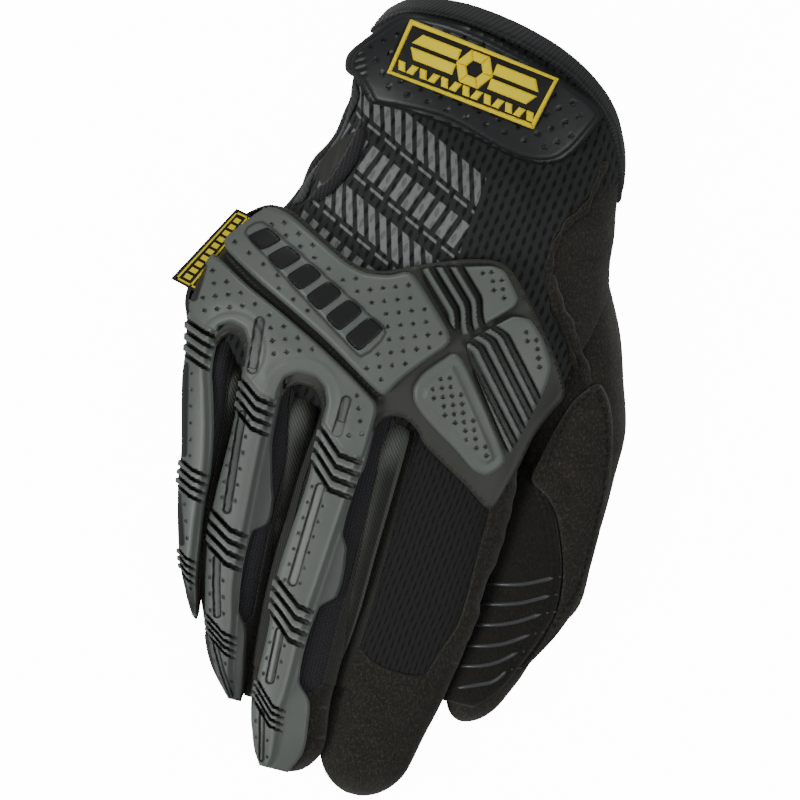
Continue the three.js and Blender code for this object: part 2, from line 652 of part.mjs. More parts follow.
// The biggest piece of a solid: crumbs that a cut leaves along a seam are dropped.
function whole(solid) {
  const parts = solid.decompose();
  return parts.reduce((best, one) => (one.volume() > best.volume() ? one : best));
}

// The glove as one thin shell, flat where it lies on its palm and open at the cuff.
function shell(swell = 0) {
  const outer = unite(tubes.map((tube) => tube.solid(-swell)));
  const inner = unite(tubes.map((tube) => tube.solid(WALL, LINING_SIDES)));
  return outer.intersect(aboveFloor(0)).subtract(inner.intersect(aboveFloor(WALL)));
}

const pieces = new Map();
const keep = (name, colour, solid) => pieces.set(name, { colour, solid: whole(solid) });

// Cuff edge: everything past it, grown by the width of the binding and the seam.
const cuffLine = CUFF_EDGE.map(onPlan);
const pastCuff = [
  ...cuffLine,
  onPlan([1.0, 0.78]), onPlan([1.0, 1.5]), onPlan([-1.0, 1.5]), onPlan([-1.0, 0.97]),
];
let rest = shell().subtract(prism(grow(pastCuff, BINDING_WIDTH + SEAM)));
const binding = shell(BINDING_RISE)
  .intersect(prism(grow(pastCuff, BINDING_WIDTH)))
  .subtract(prism(pastCuff));
keep('cuff_binding', COLOURS.binding, binding);

// Cuts a region out of what is left of the shell and leaves a seam's gap round it.
function take(outline, tube = null) {
  let inside = prism(outline);
  let outside = prism(grow(outline, SEAM));
  if (tube) {
    inside = inside.intersect(above(tube));
    outside = outside.intersect(above(tube, SEAM));
  }
  const piece = rest.intersect(inside);
  rest = rest.subtract(outside);
  return piece;
}

const places = (from, to, steps) => Array.from(
  { length: steps + 1 },
  (_, i) => from + (to - from) * (i / steps),
);

// The line half way between two neighbours, straight past the end of the shorter one.
function between(left, right) {
  const end = Math.max(left.tip, right.tip) + TIP_MARGIN;
  return (y) => {
    const level = Math.max(y, end);
    return (left.rightEdge(level) + right.leftEdge(level)) / 2;
  };
}

// Side walls of two neighbours and the web that joins them, between their seams.
function fourchette(left, right, web, reach) {
  const top = web * HAND_LENGTH;
  const end = Math.max(left.tip, right.tip) * reach;
  const rows = places(top, end, STRIP_STEPS);
  const leftLine = rows.map((y) => {
    const { middle: mid, half } = left.section(y);
    return new THREE.Vector2(mid + SIDE_SEAM * half, y);
  });
  const rightLine = rows.map((y) => {
    const { middle: mid, half } = right.section(y);
    return new THREE.Vector2(mid - SIDE_SEAM * half, y);
  });
  return take([...leftLine, ...rightLine.reverse()]);
}

keep('fourchette_ring_little', COLOURS.twill,
  fourchette(little, ring, WEBS.little, WALL_REACH.littleRing));
keep('fourchette_middle_ring', COLOURS.twill,
  fourchette(ring, middle, WEBS.ring, WALL_REACH.ringMiddle));
keep('fourchette_index_middle', COLOURS.twill,
  fourchette(middle, index, WEBS.middle, WALL_REACH.middleIndex));

// Thumb, cut off along its seam with the palm.
const thumbLine = between(index, thumb);
const webOfThumb = THUMB_SEAM[0][1] - THUMB_WEB_DROP;
const thumbEnd = thumb.tip * PAST_THUMB;
const thumbRows = places(thumbEnd, webOfThumb * HAND_LENGTH, STRIP_STEPS);
keep('thumb_shell', COLOURS.suede, take([
  new THREE.Vector2(HAND_WIDTH, thumbEnd),
  ...thumbRows.map((y) => new THREE.Vector2(thumbLine(y), y)),
  ...THUMB_SEAM.map(onPlan),
]));

// The strip of one finger, from its root line past its tip.
function strip(leftLine, rightLine, tube, web) {
  const rows = places(web * HAND_LENGTH, tube.tip * PAST_TIP, STRIP_STEPS);
  return [
    ...rows.map((y) => new THREE.Vector2(leftLine(y), y)),
    ...rows.map((y) => new THREE.Vector2(rightLine(y), y)).reverse(),
  ];
}

const littleToRing = between(little, ring);
const ringToMiddle = between(ring, middle);
const middleToIndex = between(middle, index);
const farLeft = () => -HAND_WIDTH;

function finger(name, outline, tube) {
  keep(`${name}_back`, COLOURS.knit, take(outline, tube));
  keep(`${name}_front`, COLOURS.suede, take(outline));
}

finger('little', strip(farLeft, littleToRing, little, WEBS.little), little);
finger('ring', strip(littleToRing, ringToMiddle, ring, WEBS.ring), ring);
finger('middle', strip(ringToMiddle, middleToIndex, middle, WEBS.middle), middle);

// Index finger: a knit window in the back, and suede round the side, the tip and the front.
const knitRows = places(WEBS.index * HAND_LENGTH, index.tip * INDEX_KNIT_REACH, STRIP_STEPS);
const knitSide = (share) => (y) => {
  const { middle: mid, half } = index.section(y);
  return new THREE.Vector2(mid + share * half, y);
};
const knitEnd = index.section(index.tip * INDEX_KNIT_REACH);
const knitTip = new THREE.Vector2(knitEnd.middle + KNIT_POINT[0] * knitEnd.half,
  index.tip * (INDEX_KNIT_REACH + KNIT_POINT[1]));
keep('index_back', COLOURS.knit, take([
  ...knitRows.map(knitSide(KNIT_SIDE)), knitTip, ...knitRows.map(knitSide(INDEX_SEAM)).reverse(),
], index));
keep('index_wrap', COLOURS.suede,
  take(strip(middleToIndex, thumbLine, index, WEBS.index)));

keep('back_of_hand', COLOURS.knit, take(KNIT_EDGE.map(onPlan), hand));
keep('palm', COLOURS.suede, rest);

// Height of the glove's upper side at a place seen from above: the tubes under it and a bridge
// over the finger roots, blended with a high power.
function heightAt(x, y) {
  let sum = 0;
  for (const tube of tubes) {
    const { middle: mid, half } = tube.section(y);
    const covered = y > tube.tip && y < tube.root && Math.abs(x - mid) < half;
    if (covered) sum += (Math.max(tube.top(x, y), 0) / HAND_HEIGHT) ** BLEND_POWER;
  }
  const front = hand.tip + hand.round;
  if (y < front && y > front - BRIDGE_REACH * HAND_LENGTH) {
    const bridge = hand.top(x, front) - BRIDGE_SLOPE * (front - y);
    sum += (Math.max(bridge, 0) / HAND_HEIGHT) ** BLEND_POWER;
  }
  const hold = REST_SHARE ** BLEND_POWER;
  return HAND_HEIGHT * (sum + hold) ** (1 / BLEND_POWER);
}

// A point at a distance straight out from the upper side.
function lifted(x, y, lift) {
  const slopeX = THREE.MathUtils.clamp(
    (heightAt(x + PROBE, y) - heightAt(x - PROBE, y)) / (2 * PROBE), -MAX_SLOPE, MAX_SLOPE);
  const slopeY = THREE.MathUtils.clamp(
    (heightAt(x, y + PROBE) - heightAt(x, y - PROBE)) / (2 * PROBE), -MAX_SLOPE, MAX_SLOPE);
  const normal = new THREE.Vector3(-slopeX, -slopeY, 1).normalize();
  return new THREE.Vector3(x, y, heightAt(x, y)).addScaledVector(normal, lift);
}

// A layer that follows the back of the hand between two distances from it.
function knuckleLayer(from, to) {
  const grid = (lift) => places(KNUCKLE_FROM, KNUCKLE_TO, KNUCKLE_ROWS).map((along) => {
    const y = along * HAND_LENGTH;
    const { middle: mid, half } = hand.section(Math.max(y, hand.tip + hand.round));
    return places(KNUCKLE_LEFT, KNUCKLE_RIGHT, KNUCKLE_COLUMNS).map((angle) => {
      const x = mid + half * Math.cos(angle);
      return lifted(x, y, lift);
    });
  });
  return slab(grid(from), grid(to));
}

const laid = (layer, outline) => layer.intersect(prism(outline.map(onPlan)));

const sheetTop = SHEET_GAP + SHEET_THICK;
const plateFoot = sheetTop + LAYER_GAP;
const plateTop = plateFoot + PLATE_THICK;
const sheetLayer = knuckleLayer(SHEET_GAP, sheetTop);
const plateLayer = knuckleLayer(plateFoot, plateTop);
const floorLayer = knuckleLayer(plateFoot, plateFoot + PLATE_THICK * PAD_FLOOR);
const ribLayer = knuckleLayer(plateFoot, plateFoot + RIB_THICK);
keep('guard_base', COLOURS.sheet, laid(sheetLayer, BASE_OUTLINE));
keep('knuckle_plate_upper', COLOURS.rubber, laid(plateLayer, UPPER_PLATE));
keep('knuckle_plate_lower', COLOURS.rubber, laid(plateLayer, LOWER_PLATE));

// A bar seen from above, between two plan points.
function bar({ from, to, width }) {
  const a = onPlan(from);
  const b = onPlan(to);
  const side = b.clone().sub(a).normalize().multiplyScalar(width * HAND_WIDTH / 2);
  const across = new THREE.Vector2(-side.y, side.x);
  return [
    a.clone().add(across), b.clone().add(across), b.clone().sub(across), a.clone().sub(across),
  ];
}

// Pads with a low floor under the ribs that lie beside them, in one moulding.
const ribsOf = (rows) => unite(rows.map((row) => ribLayer.intersect(prism(bar(row)))));
const upperPad = laid(plateLayer, UPPER_PAD_HEAD)
  .add(laid(floorLayer, UPPER_RIB_FIELD))
  .add(ribsOf(UPPER_RIBS));
keep('index_pad_upper', COLOURS.rubber, upperPad);
const outerPad = laid(plateLayer, OUTER_PAD)
  .add(laid(floorLayer, OUTER_RIB_FIELD))
  .add(ribsOf(OUTER_RIBS));
keep('index_pad_outer', COLOURS.rubber, outerPad);
keep('index_pad_lower', COLOURS.rubber, laid(plateLayer, LOWER_PAD));

// Stepped panel on the upper plate with a row of slanted bars.
const panelFoot = plateTop + LAYER_GAP;
const panelLayer = knuckleLayer(panelFoot, panelFoot + PANEL_THICK);
const panelBarLayer = knuckleLayer(panelFoot, panelFoot + 2 * PANEL_THICK);
const [panelA, panelB, panelC, panelD] = NAME_PANEL.map(onPlan);
const panelBars = places(0, 1, PANEL_BARS).slice(0, PANEL_BARS).map((share) => {
  const start = share + PANEL_MARGIN / PANEL_BARS;
  const stop = share + (1 - PANEL_MARGIN) / PANEL_BARS;
  const upper = (t) => panelB.clone().lerp(panelC, t);
  const lower = (t) => panelA.clone().lerp(panelD, t);
  const inset = (t, side) => lower(t).lerp(upper(t), side);
  return panelBarLayer.intersect(prism([
    inset(start, PANEL_MARGIN),
    inset(stop, PANEL_MARGIN),
    inset(stop, 1 - PANEL_MARGIN),
    inset(start, 1 - PANEL_MARGIN),
  ]));
});
keep('name_panel', COLOURS.strapRubber,
  unite([laid(panelLayer, NAME_PANEL), ...panelBars]));

// A line along a finger at a share of its half width, straight over the end of the finger.
function sideLine(tube, rows, length, column) {
  const share = reader(rows, 'along', column);
  return (y) => {
    const { middle: mid, half } = tube.section(Math.max(y, tube.tip + STRIP_END));
    return mid + half * share(-y / length);
  };
}

// A moulded strip: its columns are lines along the finger and its rows are places, each with
// the share of the full height that it stands at. A column drops towards the fingertip by a
// share of the slant, which gives the ribs their chevron form.
function moulding({ columns, rows, slant, low, base, high }) {
  const grid = (lift) => rows.map((row) => columns.map((column) => {
    const y = row.y - slant * column.drop * row.slanted;
    return lifted(column.line(y), y, lift(row.rise * column.rise));
  }));
  return slab(grid(() => low), grid((rise) => THREE.MathUtils.lerp(base, high, rise)));
}

// Rows of a strip with plates and groups of ribs, from the strip's start to its end.
function stripRows(blocks, length, start, end) {
  const rows = [{ y: start, rise: 0, slanted: 0 }];
  blocks.forEach(({ kind, from, to }, order) => {
    const top = -from * length;
    const span = (to - from) * length;
    const last = order === blocks.length - 1;
    if (kind === 'plate') {
      const steps = Math.max(Math.round(span / PLATE_STEP), 2);
      rows.push({ y: top, rise: 0, slanted: 1 });
      for (const t of places(0, 1, steps)) {
        const y = top - GUARD_BEVEL - (span - 2 * GUARD_BEVEL) * t;
        rows.push({ y, rise: 1, slanted: last ? 1 - t : 1 });
      }
      rows.push({ y: top - span, rise: 0, slanted: last ? 0 : 1 });
    } else {
      const pitch = span / CHEVRON_RIBS;
      for (let i = 0; i < CHEVRON_RIBS; i += 1) {
        rows.push({ y: top - pitch * (i + 0.5), rise: 1, slanted: 1 });
        if (i + 1 < CHEVRON_RIBS) rows.push({ y: top - pitch * (i + 1), rise: 0, slanted: 1 });
      }
    }
  });
  rows.push({ y: end, rise: 0, slanted: 0 });
  return rows;
}

// Guard of one finger: a thin sheet, plates and groups of ribs, moulded together.
function guard(tube, rows, blocks, length, width) {
  const left = sideLine(tube, rows, length, 'left');
  const right = sideLine(tube, rows, length, 'right');
  const flange = sideLine(tube, rows, length, 'flange');
  const columns = [
    { line: left, rise: 0, drop: 0 },
    { line: (y) => left(y) + GUARD_BEVEL, rise: 1, drop: 0 },
    { line: (y) => (left(y) + right(y)) / 2, rise: 1, drop: 1 },
    { line: right, rise: 1, drop: 1 },
    { line: (y) => Math.min(right(y) + GUARD_BEVEL, flange(y) - FLANGE_LEAST), rise: 0, drop: 1 },
    { line: flange, rise: 0, drop: 1 },
  ];
  return moulding({
    columns,
    rows: stripRows(blocks, length, -rows[0].along * length, -rows.at(-1).along * length),
    slant: width * CHEVRON_DROP,
    low: SHEET_GAP,
    base: sheetTop,
    high: sheetTop + PLATE_THICK,
  });
}

keep('middle_guard', COLOURS.rubber,
  guard(middle, MIDDLE_STRIP, MIDDLE_BLOCKS, MIDDLE_LENGTH, MIDDLE_WIDTH));
keep('ring_guard', COLOURS.rubber,
  guard(ring, RING_STRIP, RING_BLOCKS, RING_LENGTH, RING_WIDTH));
keep('little_guard', COLOURS.rubber,
  guard(little, LITTLE_STRIP, LITTLE_BLOCKS, LITTLE_LENGTH, LITTLE_WIDTH));

// Patch on the thumb with ridges that rise to the outer side.
const patchLeft = sideLine(thumb, PATCH_ROWS, THUMB_LENGTH, 'left');
const patchRight = sideLine(thumb, PATCH_ROWS, THUMB_LENGTH, 'right');
const patchFrom = -PATCH_ROWS[0].along * THUMB_LENGTH;
const patchTo = -PATCH_ROWS.at(-1).along * THUMB_LENGTH;
const gripTop = SHEET_GAP + PATCH_THICK;
const ridgePitch = (patchFrom - patchTo) / (PATCH_RIDGES + 1);
const ridgeRows = places(1, PATCH_RIDGES, PATCH_RIDGES - 1).flatMap((i) => {
  const y = patchFrom - ridgePitch * i;
  return [
    { y: y + RIDGE_WIDTH / 2, rise: 0, slanted: 1 },
    { y, rise: 1, slanted: 1 },
    { y: y - RIDGE_WIDTH / 2, rise: 0, slanted: 1 },
  ];
});
const acrossPatch = (share) => (y) => (
  THREE.MathUtils.lerp(patchLeft(y), patchRight(y), share)
);
keep('thumb_grip_patch', COLOURS.suede, moulding({
  columns: [
    { line: acrossPatch(0), rise: 0, drop: 1 },
    { line: acrossPatch(0.12), rise: 1, drop: 0.8 },
    { line: acrossPatch(0.5), rise: 1, drop: 0 },
    { line: acrossPatch(0.9), rise: 1, drop: -0.8 },
    { line: acrossPatch(1), rise: 0, drop: -1 },
  ],
  rows: [
    { y: patchFrom, rise: 0, slanted: 0 }, ...ridgeRows, { y: patchTo, rise: 0, slanted: 0 },
  ],
  slant: RIDGE_SLANT * THUMB_WIDTH,
  low: SHEET_GAP,
  base: gripTop,
  high: gripTop + RIDGE_RISE,
}));

// A point straight out from the hand's own tube, by angle round it.
function wristPoint(y, angle, lift) {
  const point = hand.point(y, angle);
  const round = hand.point(y, angle + TURN_PROBE).sub(hand.point(y, angle - TURN_PROBE));
  const along = hand.point(y + PROBE, angle).sub(hand.point(y - PROBE, angle));
  const normal = along.cross(round).normalize();
  return point.addScaledVector(normal, lift);
}

// A layer round the wrist between two angles and two places along the hand.
function wristLayer({ low, high, start, stop, from, to, rows, columns }) {
  const grid = (lift) => places(from, to, rows).map((along) => (
    places(start, stop, columns).map((angle) => wristPoint(along * HAND_LENGTH, angle, lift))
  ));
  return slab(grid(low), grid(high));
}

const strapTop = SHEET_GAP + STRAP_THICK;
const guardFoot = strapTop + LAYER_GAP;
const guardTop = guardFoot + STRAP_GUARD_THICK;
const labelFoot = guardTop + LAYER_GAP;
const reliefFoot = labelFoot + LABEL_THICK + LAYER_GAP;
const wrist = {
  start: THREE.MathUtils.degToRad(14),
  stop: STRAP_END,
  from: 0.74,
  to: 1.16,
  rows: 5,
  columns: 11,
};
const strapLine = STRAP_GUARD.map(onPlan);
const strapBand = wristLayer({ ...wrist, low: SHEET_GAP, high: strapTop });
keep('wrist_strap', COLOURS.strapRubber, strapBand.intersect(prism(strapLine))
  .subtract(prism(grow(pastCuff, BINDING_WIDTH + SEAM))));
const guardBand = wristLayer({ ...wrist, low: guardFoot, high: guardTop });
keep('strap_guard', COLOURS.strapRubber,
  guardBand.intersect(prism(grow(strapLine, -STRAP_LIP))));

// Label: a plaque, a border line and an emblem of a nut between two pairs of bars.
const labelPlace = onPlan(LABEL_PLACE);
const onLabel = (points) => points.map(([u, v]) => (
  new THREE.Vector2(u, v).rotateAround(new THREE.Vector2(), LABEL_TURN).add(labelPlace)
));
const frame = (inset) => {
  const u = LABEL_LENGTH / 2 - inset;
  const v = LABEL_HEIGHT / 2 - inset;
  return onLabel([[-u, -v], [u, -v], [u, v], [-u, v]]);
};
const plaqueLayer = wristLayer({ ...wrist, low: labelFoot, high: labelFoot + LABEL_THICK });
const reliefLayer = wristLayer({
  ...wrist, low: reliefFoot, high: reliefFoot + LABEL_RELIEF,
});
keep('strap_label', COLOURS.plaque, plaqueLayer.intersect(prism(frame(0))));
const borderOuter = prism(frame(LABEL_LINE));
const borderInner = prism(frame(2 * LABEL_LINE));
keep('label_border', COLOURS.yellow,
  reliefLayer.intersect(borderOuter.subtract(borderInner)));
const nut = (radius) => onLabel(places(0, 5, 5).map((i) => [
  radius * Math.cos((i / 6) * 2 * Math.PI),
  radius * Math.sin((i / 6) * 2 * Math.PI),
]));
const wing = (side, level) => {
  const near = side * NUT_RADIUS / 2;
  const far = side * (LABEL_LENGTH / 2 - 4 * LABEL_LINE);
  const half = WING_WIDTH / 2;
  const v = level * WING_PLACE;
  return prism(onLabel([[near, v - half], [far, v - half], [far, v + half], [near, v + half]]));
};
const wings = [[-1, 1], [-1, -1], [1, 1], [1, -1]].map(([side, level]) => wing(side, level));
const emblem = unite([prism(nut(NUT_RADIUS)), ...wings]).subtract(prism(nut(NUT_RADIUS / 2)));
keep('label_emblem', COLOURS.yellow, reliefLayer.intersect(emblem));

// Smooth lens shaped insert at the slit of the wrist.
const gussetLayer = wristLayer({
  start: THREE.MathUtils.degToRad(105),
  stop: THREE.MathUtils.degToRad(176),
  from: 0.50,
  to: 0.80,
  rows: 6,
  columns: 8,
  low: SHEET_GAP,
  high: SHEET_GAP + GUSSET_THICK,
});
keep('wrist_gusset', COLOURS.rubber, gussetLayer.intersect(prism(GUSSET.map(onPlan))));

// Tag in the side seam: flat, and clear of the hand that it sticks out from.
const tagLevel = TAG_SHARE * HAND_HEIGHT;
const tagBlock = prism(TAG.map(onPlan))
  .intersect(aboveFloor(tagLevel))
  .subtract(aboveFloor(tagLevel + TAG_THICK));
const clearOfHand = unite([hand.solid(-LAYER_GAP), little.solid(-LAYER_GAP)]);
keep('side_tag', COLOURS.plaque, tagBlock.subtract(clearOfHand));

// The origin is in the middle of the glove's footprint, on the surface it lies on.
const box = new THREE.Box3();
for (const { solid } of pieces.values()) {
  const { min, max } = solid.boundingBox();
  box.expandByPoint(new THREE.Vector3(...min));
  box.expandByPoint(new THREE.Vector3(...max));
}
const centre = box.getCenter(new THREE.Vector3());

const glove = new THREE.Group();
for (const [name, { colour, solid }] of pieces) {
  const data = solid.getMesh();
  const geometry = new THREE.BufferGeometry();
  geometry.setAttribute('position', new THREE.BufferAttribute(data.vertProperties, 3));
  geometry.setIndex(new THREE.BufferAttribute(data.triVerts, 1));
  geometry.translate(-centre.x, -centre.y, 0);
  geometry.computeVertexNormals();
  const mesh = new THREE.Mesh(geometry, new THREE.MeshStandardMaterial(colour));
  mesh.name = name;
  glove.add(mesh);
}

export default glove;
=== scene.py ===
"""Looks of a mechanic glove for the right hand that lies on its palm.

The glove's own frame is in millimetres: +Y runs from the fingertips to the cuff, +X points to
the thumb side, and Z is zero where the palm lies. The zero of X and Y is the middle of the
photograph. Place.out() turns these lengths into the packed model's metres.
"""

import logging
import math
from dataclasses import dataclass, field
from enum import Enum
from typing import Callable, Optional, Sequence, Union

import bpy
import numpy as np
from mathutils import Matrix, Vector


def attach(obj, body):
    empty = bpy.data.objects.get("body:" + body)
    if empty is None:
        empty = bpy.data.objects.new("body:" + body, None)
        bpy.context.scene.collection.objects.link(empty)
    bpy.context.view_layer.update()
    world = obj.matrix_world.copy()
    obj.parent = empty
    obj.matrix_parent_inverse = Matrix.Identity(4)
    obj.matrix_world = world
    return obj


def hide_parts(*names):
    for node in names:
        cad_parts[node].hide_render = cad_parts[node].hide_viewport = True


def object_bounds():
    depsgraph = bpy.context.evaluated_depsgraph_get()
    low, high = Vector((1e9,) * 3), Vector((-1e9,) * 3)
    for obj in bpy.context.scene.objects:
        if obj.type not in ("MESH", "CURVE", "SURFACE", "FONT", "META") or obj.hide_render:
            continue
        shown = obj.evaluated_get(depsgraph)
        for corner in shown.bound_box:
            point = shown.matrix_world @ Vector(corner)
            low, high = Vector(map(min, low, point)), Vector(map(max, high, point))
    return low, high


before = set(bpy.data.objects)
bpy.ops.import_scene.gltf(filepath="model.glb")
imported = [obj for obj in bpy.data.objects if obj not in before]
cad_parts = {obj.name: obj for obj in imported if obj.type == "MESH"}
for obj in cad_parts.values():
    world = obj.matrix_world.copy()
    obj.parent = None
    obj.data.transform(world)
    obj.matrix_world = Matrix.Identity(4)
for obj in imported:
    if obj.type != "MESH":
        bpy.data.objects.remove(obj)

CAD_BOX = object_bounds()

log = logging.getLogger("glove")

Array = np.ndarray
Point = tuple[float, float]
Side = Callable[[Array], Array]
Lift = Callable[[Array, Array], Array]
Relief = Callable[[Array, Array, Array], tuple[Array, Array]]
MM = 0.001
UV_SPAN = 100.0  # millimetres of cloth in one unit of the UV map
BLEND = 40.0  # power by which the tubes' heights blend; a low one rounds the valleys
HALF_DIAGONAL = 0.71  # of a grid's square, in steps

# Sizes that the packed solids are built to, in millimetres
HAND_WIDTH = 100.0
HAND_LENGTH = 100.0
HAND_HEIGHT = 38.0
TAG_REACH = -75.2
CUFF_REACH = 118.6
WALL = 1.8
WEB_REACH = 12.0
WEB_ROUND = 22.0
FINGER_ROUND = 12.0
THUMB_ROUND = 10.0
BRIDGE_START = 8.0  # the stretch over which the bridge between the knuckles sets in
SECTION_TOP = 2.3
SECTION_UNDER = 3.2
WAIST = 0.45
SHEET_GAP = 0.7
SHEET_THICK = 1.2
PLATE_THICK = 2.6
BINDING_WIDTH = 5.5

# The photograph and the studio
PHOTO_PIXELS = 800
PIXEL_SIZE = 0.30  # millimetres of glove in one pixel
PHOTO_TURN = math.radians(14.0)
CAMERA_HEIGHT = 3000.0
SENSOR = 36.0
FLOOR_HALF = 1.6  # metres, and so is the level
FLOOR_LEVEL = -0.0002
FLOOR_GLOW = 14.0
SKY = 0.2


@dataclass(frozen=True)
class Place:
    """Where the glove's own zero lies in the packed model, in millimetres."""

    x: float
    y: float

    def out(self, points: Array) -> Array:
        """Turns the glove's millimetres into the packed model's metres."""
        return (np.asarray(points, float) + np.array([self.x, self.y, 0.0])) * MM


PLACE = Place(CAD_BOX[0][0] / MM - TAG_REACH, CAD_BOX[1][1] / MM - CUFF_REACH)


class Curve:
    """A smooth curve through a table: cubic Hermite pieces with central slopes, held at the ends."""

    def __init__(self, places: Sequence[float], values: Sequence[float]) -> None:
        """Sorts the rows and works out the slope at each.

        Args:
            places: where the curve is given.
            values: what it is there.
        """
        order = np.argsort(places)
        self.places = np.asarray(places, float)[order]
        self.values = np.asarray(values, float)[order]
        count = len(order)
        before = np.maximum(np.arange(count) - 1, 0)
        after = np.minimum(np.arange(count) + 1, count - 1)
        rise = self.values[after] - self.values[before]
        self.slopes = rise / (self.places[after] - self.places[before])

    @classmethod
    def through(cls, rows: Sequence[Point]) -> "Curve":
        """The curve through rows of place and value."""
        return cls(*zip(*rows))

    def __call__(self, place: Array) -> Array:
        """Reads the curve.

        Args:
            place: where to read it, any shape.

        Returns:
            The value at each place.
        """
        x = np.clip(place, self.places[0], self.places[-1])
        i = np.clip(np.searchsorted(self.places, x) - 1, 0, len(self.places) - 2)
        span = self.places[i + 1] - self.places[i]
        t = (x - self.places[i]) / span
        t2 = t * t
        t3 = t2 * t
        return (
            self.values[i] * (2 * t3 - 3 * t2 + 1)
            + self.slopes[i] * span * (t3 - 2 * t2 + t)
            + self.values[i + 1] * (3 * t2 - 2 * t3)
            + self.slopes[i + 1] * span * (t3 - t2)
        )


def ease(start: float, stop: float, value: Array) -> Array:
    """A smooth step that is 0 before start and 1 after stop: 3t squared less 2t cubed."""
    t = np.clip((value - start) / (stop - start), 0.0, 1.0)
    return t * t * (3 - 2 * t)


def pack(*parts: Array) -> Array:
    """Puts arrays side by side on a new last axis, such as x, y and z into points."""
    return np.stack(parts, axis=-1)


def dome(depth: Array, radius: float) -> Array:
    """The rounded shoulder of a plate: a quarter circle over the radius in from its edge."""
    t = np.clip(depth / radius, 0.0, 1.0)
    return np.sqrt(np.clip(1 - (1 - t) ** 2, 0.0, 1.0))


@dataclass(frozen=True)
class Section:
    """One cross section of a tube: middle, half width, waist height, and its reach up and down."""

    middle: Array
    half: Array
    waist: Array
    up: Array
    down: Array


class Tube:
    """A soft tube along Y whose sections are superellipses, rounded off at its tip."""

    def __init__(
        self,
        rows: Sequence[tuple[float, float, float, float, float]],
        length: float,
        width: float,
        tip: float,
        round_length: float,
        lean: float = 0.0,
    ) -> None:
        """Reads the table's columns: place, middle, half width, lowest and highest point.

        Args:
            rows: shares of length, HAND_WIDTH, width, HAND_HEIGHT and HAND_HEIGHT.
            length: runs the places; it is minus for a finger, which runs down Y.
            width: what the half widths are shares of.
            tip: Y of the closed end.
            round_length: how far the rounded end reaches.
            lean: rise of a section to the thumb side.
        """
        table = np.array(rows)
        places = table[:, 0] * length
        self.middle = Curve(places, table[:, 1] * HAND_WIDTH)
        self.half = Curve(places, table[:, 2] * width)
        self.low = Curve(places, table[:, 3] * HAND_HEIGHT)
        self.high = Curve(places, table[:, 4] * HAND_HEIGHT)
        self.tip = tip
        self.root = float(places.max())
        self.round_length = round_length
        self.lean = lean

    def section(self, y: Array, inset: Union[float, Array] = 0.0) -> Section:
        """The section at Y, less an inset. Its size fades over the rounded end as a quarter circle.

        Args:
            y: places along.
            inset: distance in from the outer side; a minus one lies outside.

        Returns:
            The section at each place.
        """
        left = np.maximum(y - (self.tip + inset), 0.0)
        reach = self.round_length - inset
        share = np.clip((reach - left) / reach, 0.0, 1.0)
        fade = np.sqrt(1 - share**2)
        low = self.low(y)
        high = self.high(y)
        waist = low + WAIST * (high - low)
        return Section(
            middle=self.middle(y),
            half=np.maximum(self.half(y) - inset, 0.4) * fade,
            waist=waist,
            up=np.maximum(high - waist - inset, 0.4) * fade,
            down=np.maximum(waist - low - inset, 0.4) * fade,
        )

    def point(self, y: Array, angle: Array, inset: Union[float, Array] = 0.0) -> Array:
        """Points of the tube: cosine and sine of the angle raised to 2 over the section's power.

        Args:
            y: places along.
            angle: angles round the tube.
            inset: distance in from the outer side; a minus one lies outside.

        Returns:
            The points, as x, y and z on the last axis.
        """
        cut = self.section(y, inset)
        c = np.cos(angle)
        s = np.sin(angle)
        power = 2 / np.where(s >= 0, SECTION_TOP, SECTION_UNDER)
        across = np.sign(c) * np.abs(c) ** power * cut.half
        rise = np.sign(s) * np.abs(s) ** power * np.where(s >= 0, cut.up, cut.down)
        height = cut.waist + rise + self.lean * across
        return np.stack(np.broadcast_arrays(cut.middle + across, y, height), axis=-1)

    def angle_at(self, share: Array) -> Array:
        """The angle on the upper side at which the tube is that share of its half width across."""
        return np.arccos(np.sign(share) * np.abs(share) ** (SECTION_TOP / 2))

    def top(self, x: Array, y: Array, inset: Union[float, Array] = 0.0) -> Array:
        """Height of the upper side at a place seen from above, and the waist's height beside it.

        Args:
            x: places across.
            y: places along.
            inset: distance in from the outer side; a minus one lies outside.

        Returns:
            The height at each place.
        """
        cut = self.section(y, inset)
        share = np.minimum(np.abs(x - cut.middle) / np.maximum(cut.half, 1e-6), 1.0)
        rise = cut.up * (1 - share**SECTION_TOP) ** (1 / SECTION_TOP)
        return cut.waist + rise + self.lean * (x - cut.middle)


def finger(
    rows: Sequence[tuple[float, float, float, float, float]],
    length: float,
    width: float,
    lean: float = 0.0,
    round_length: float = FINGER_ROUND,
) -> Tube:
    """A finger's tube, which runs from inside the hand down Y to its tip."""
    return Tube(rows, -length, width, -length, round_length, lean)


HAND = Tube(
    [
        (along, (left + right) / 2, (right - left) / 2, low, high)
        for along, left, right, low, high in (
            (1.26, -0.22, 0.34, -0.02, 0.76),
            (1.16, -0.285, 0.375, -0.02, 0.80),
            (1.08, -0.33, 0.405, -0.02, 0.83),
            (1.00, -0.36, 0.43, -0.02, 0.84),
            (0.90, -0.37, 0.46, -0.02, 0.83),
            (0.80, -0.36, 0.48, -0.02, 0.80),
            (0.72, -0.37, 0.487, -0.02, 0.80),
            (0.60, -0.42, 0.505, -0.02, 0.84),
            (0.48, -0.475, 0.525, -0.02, 0.90),
            (0.40, -0.535, 0.53, -0.02, 0.94),
            (0.30, -0.605, 0.515, -0.02, 0.98),
            (0.16, -0.640, 0.475, -0.02, 1.00),
            (0.04, -0.635, 0.44, 0.00, 0.98),
            (-0.12, -0.62, 0.40, 0.06, 0.95),
        )
    ],
    HAND_LENGTH,
    HAND_WIDTH,
    -WEB_REACH,
    WEB_ROUND,
)
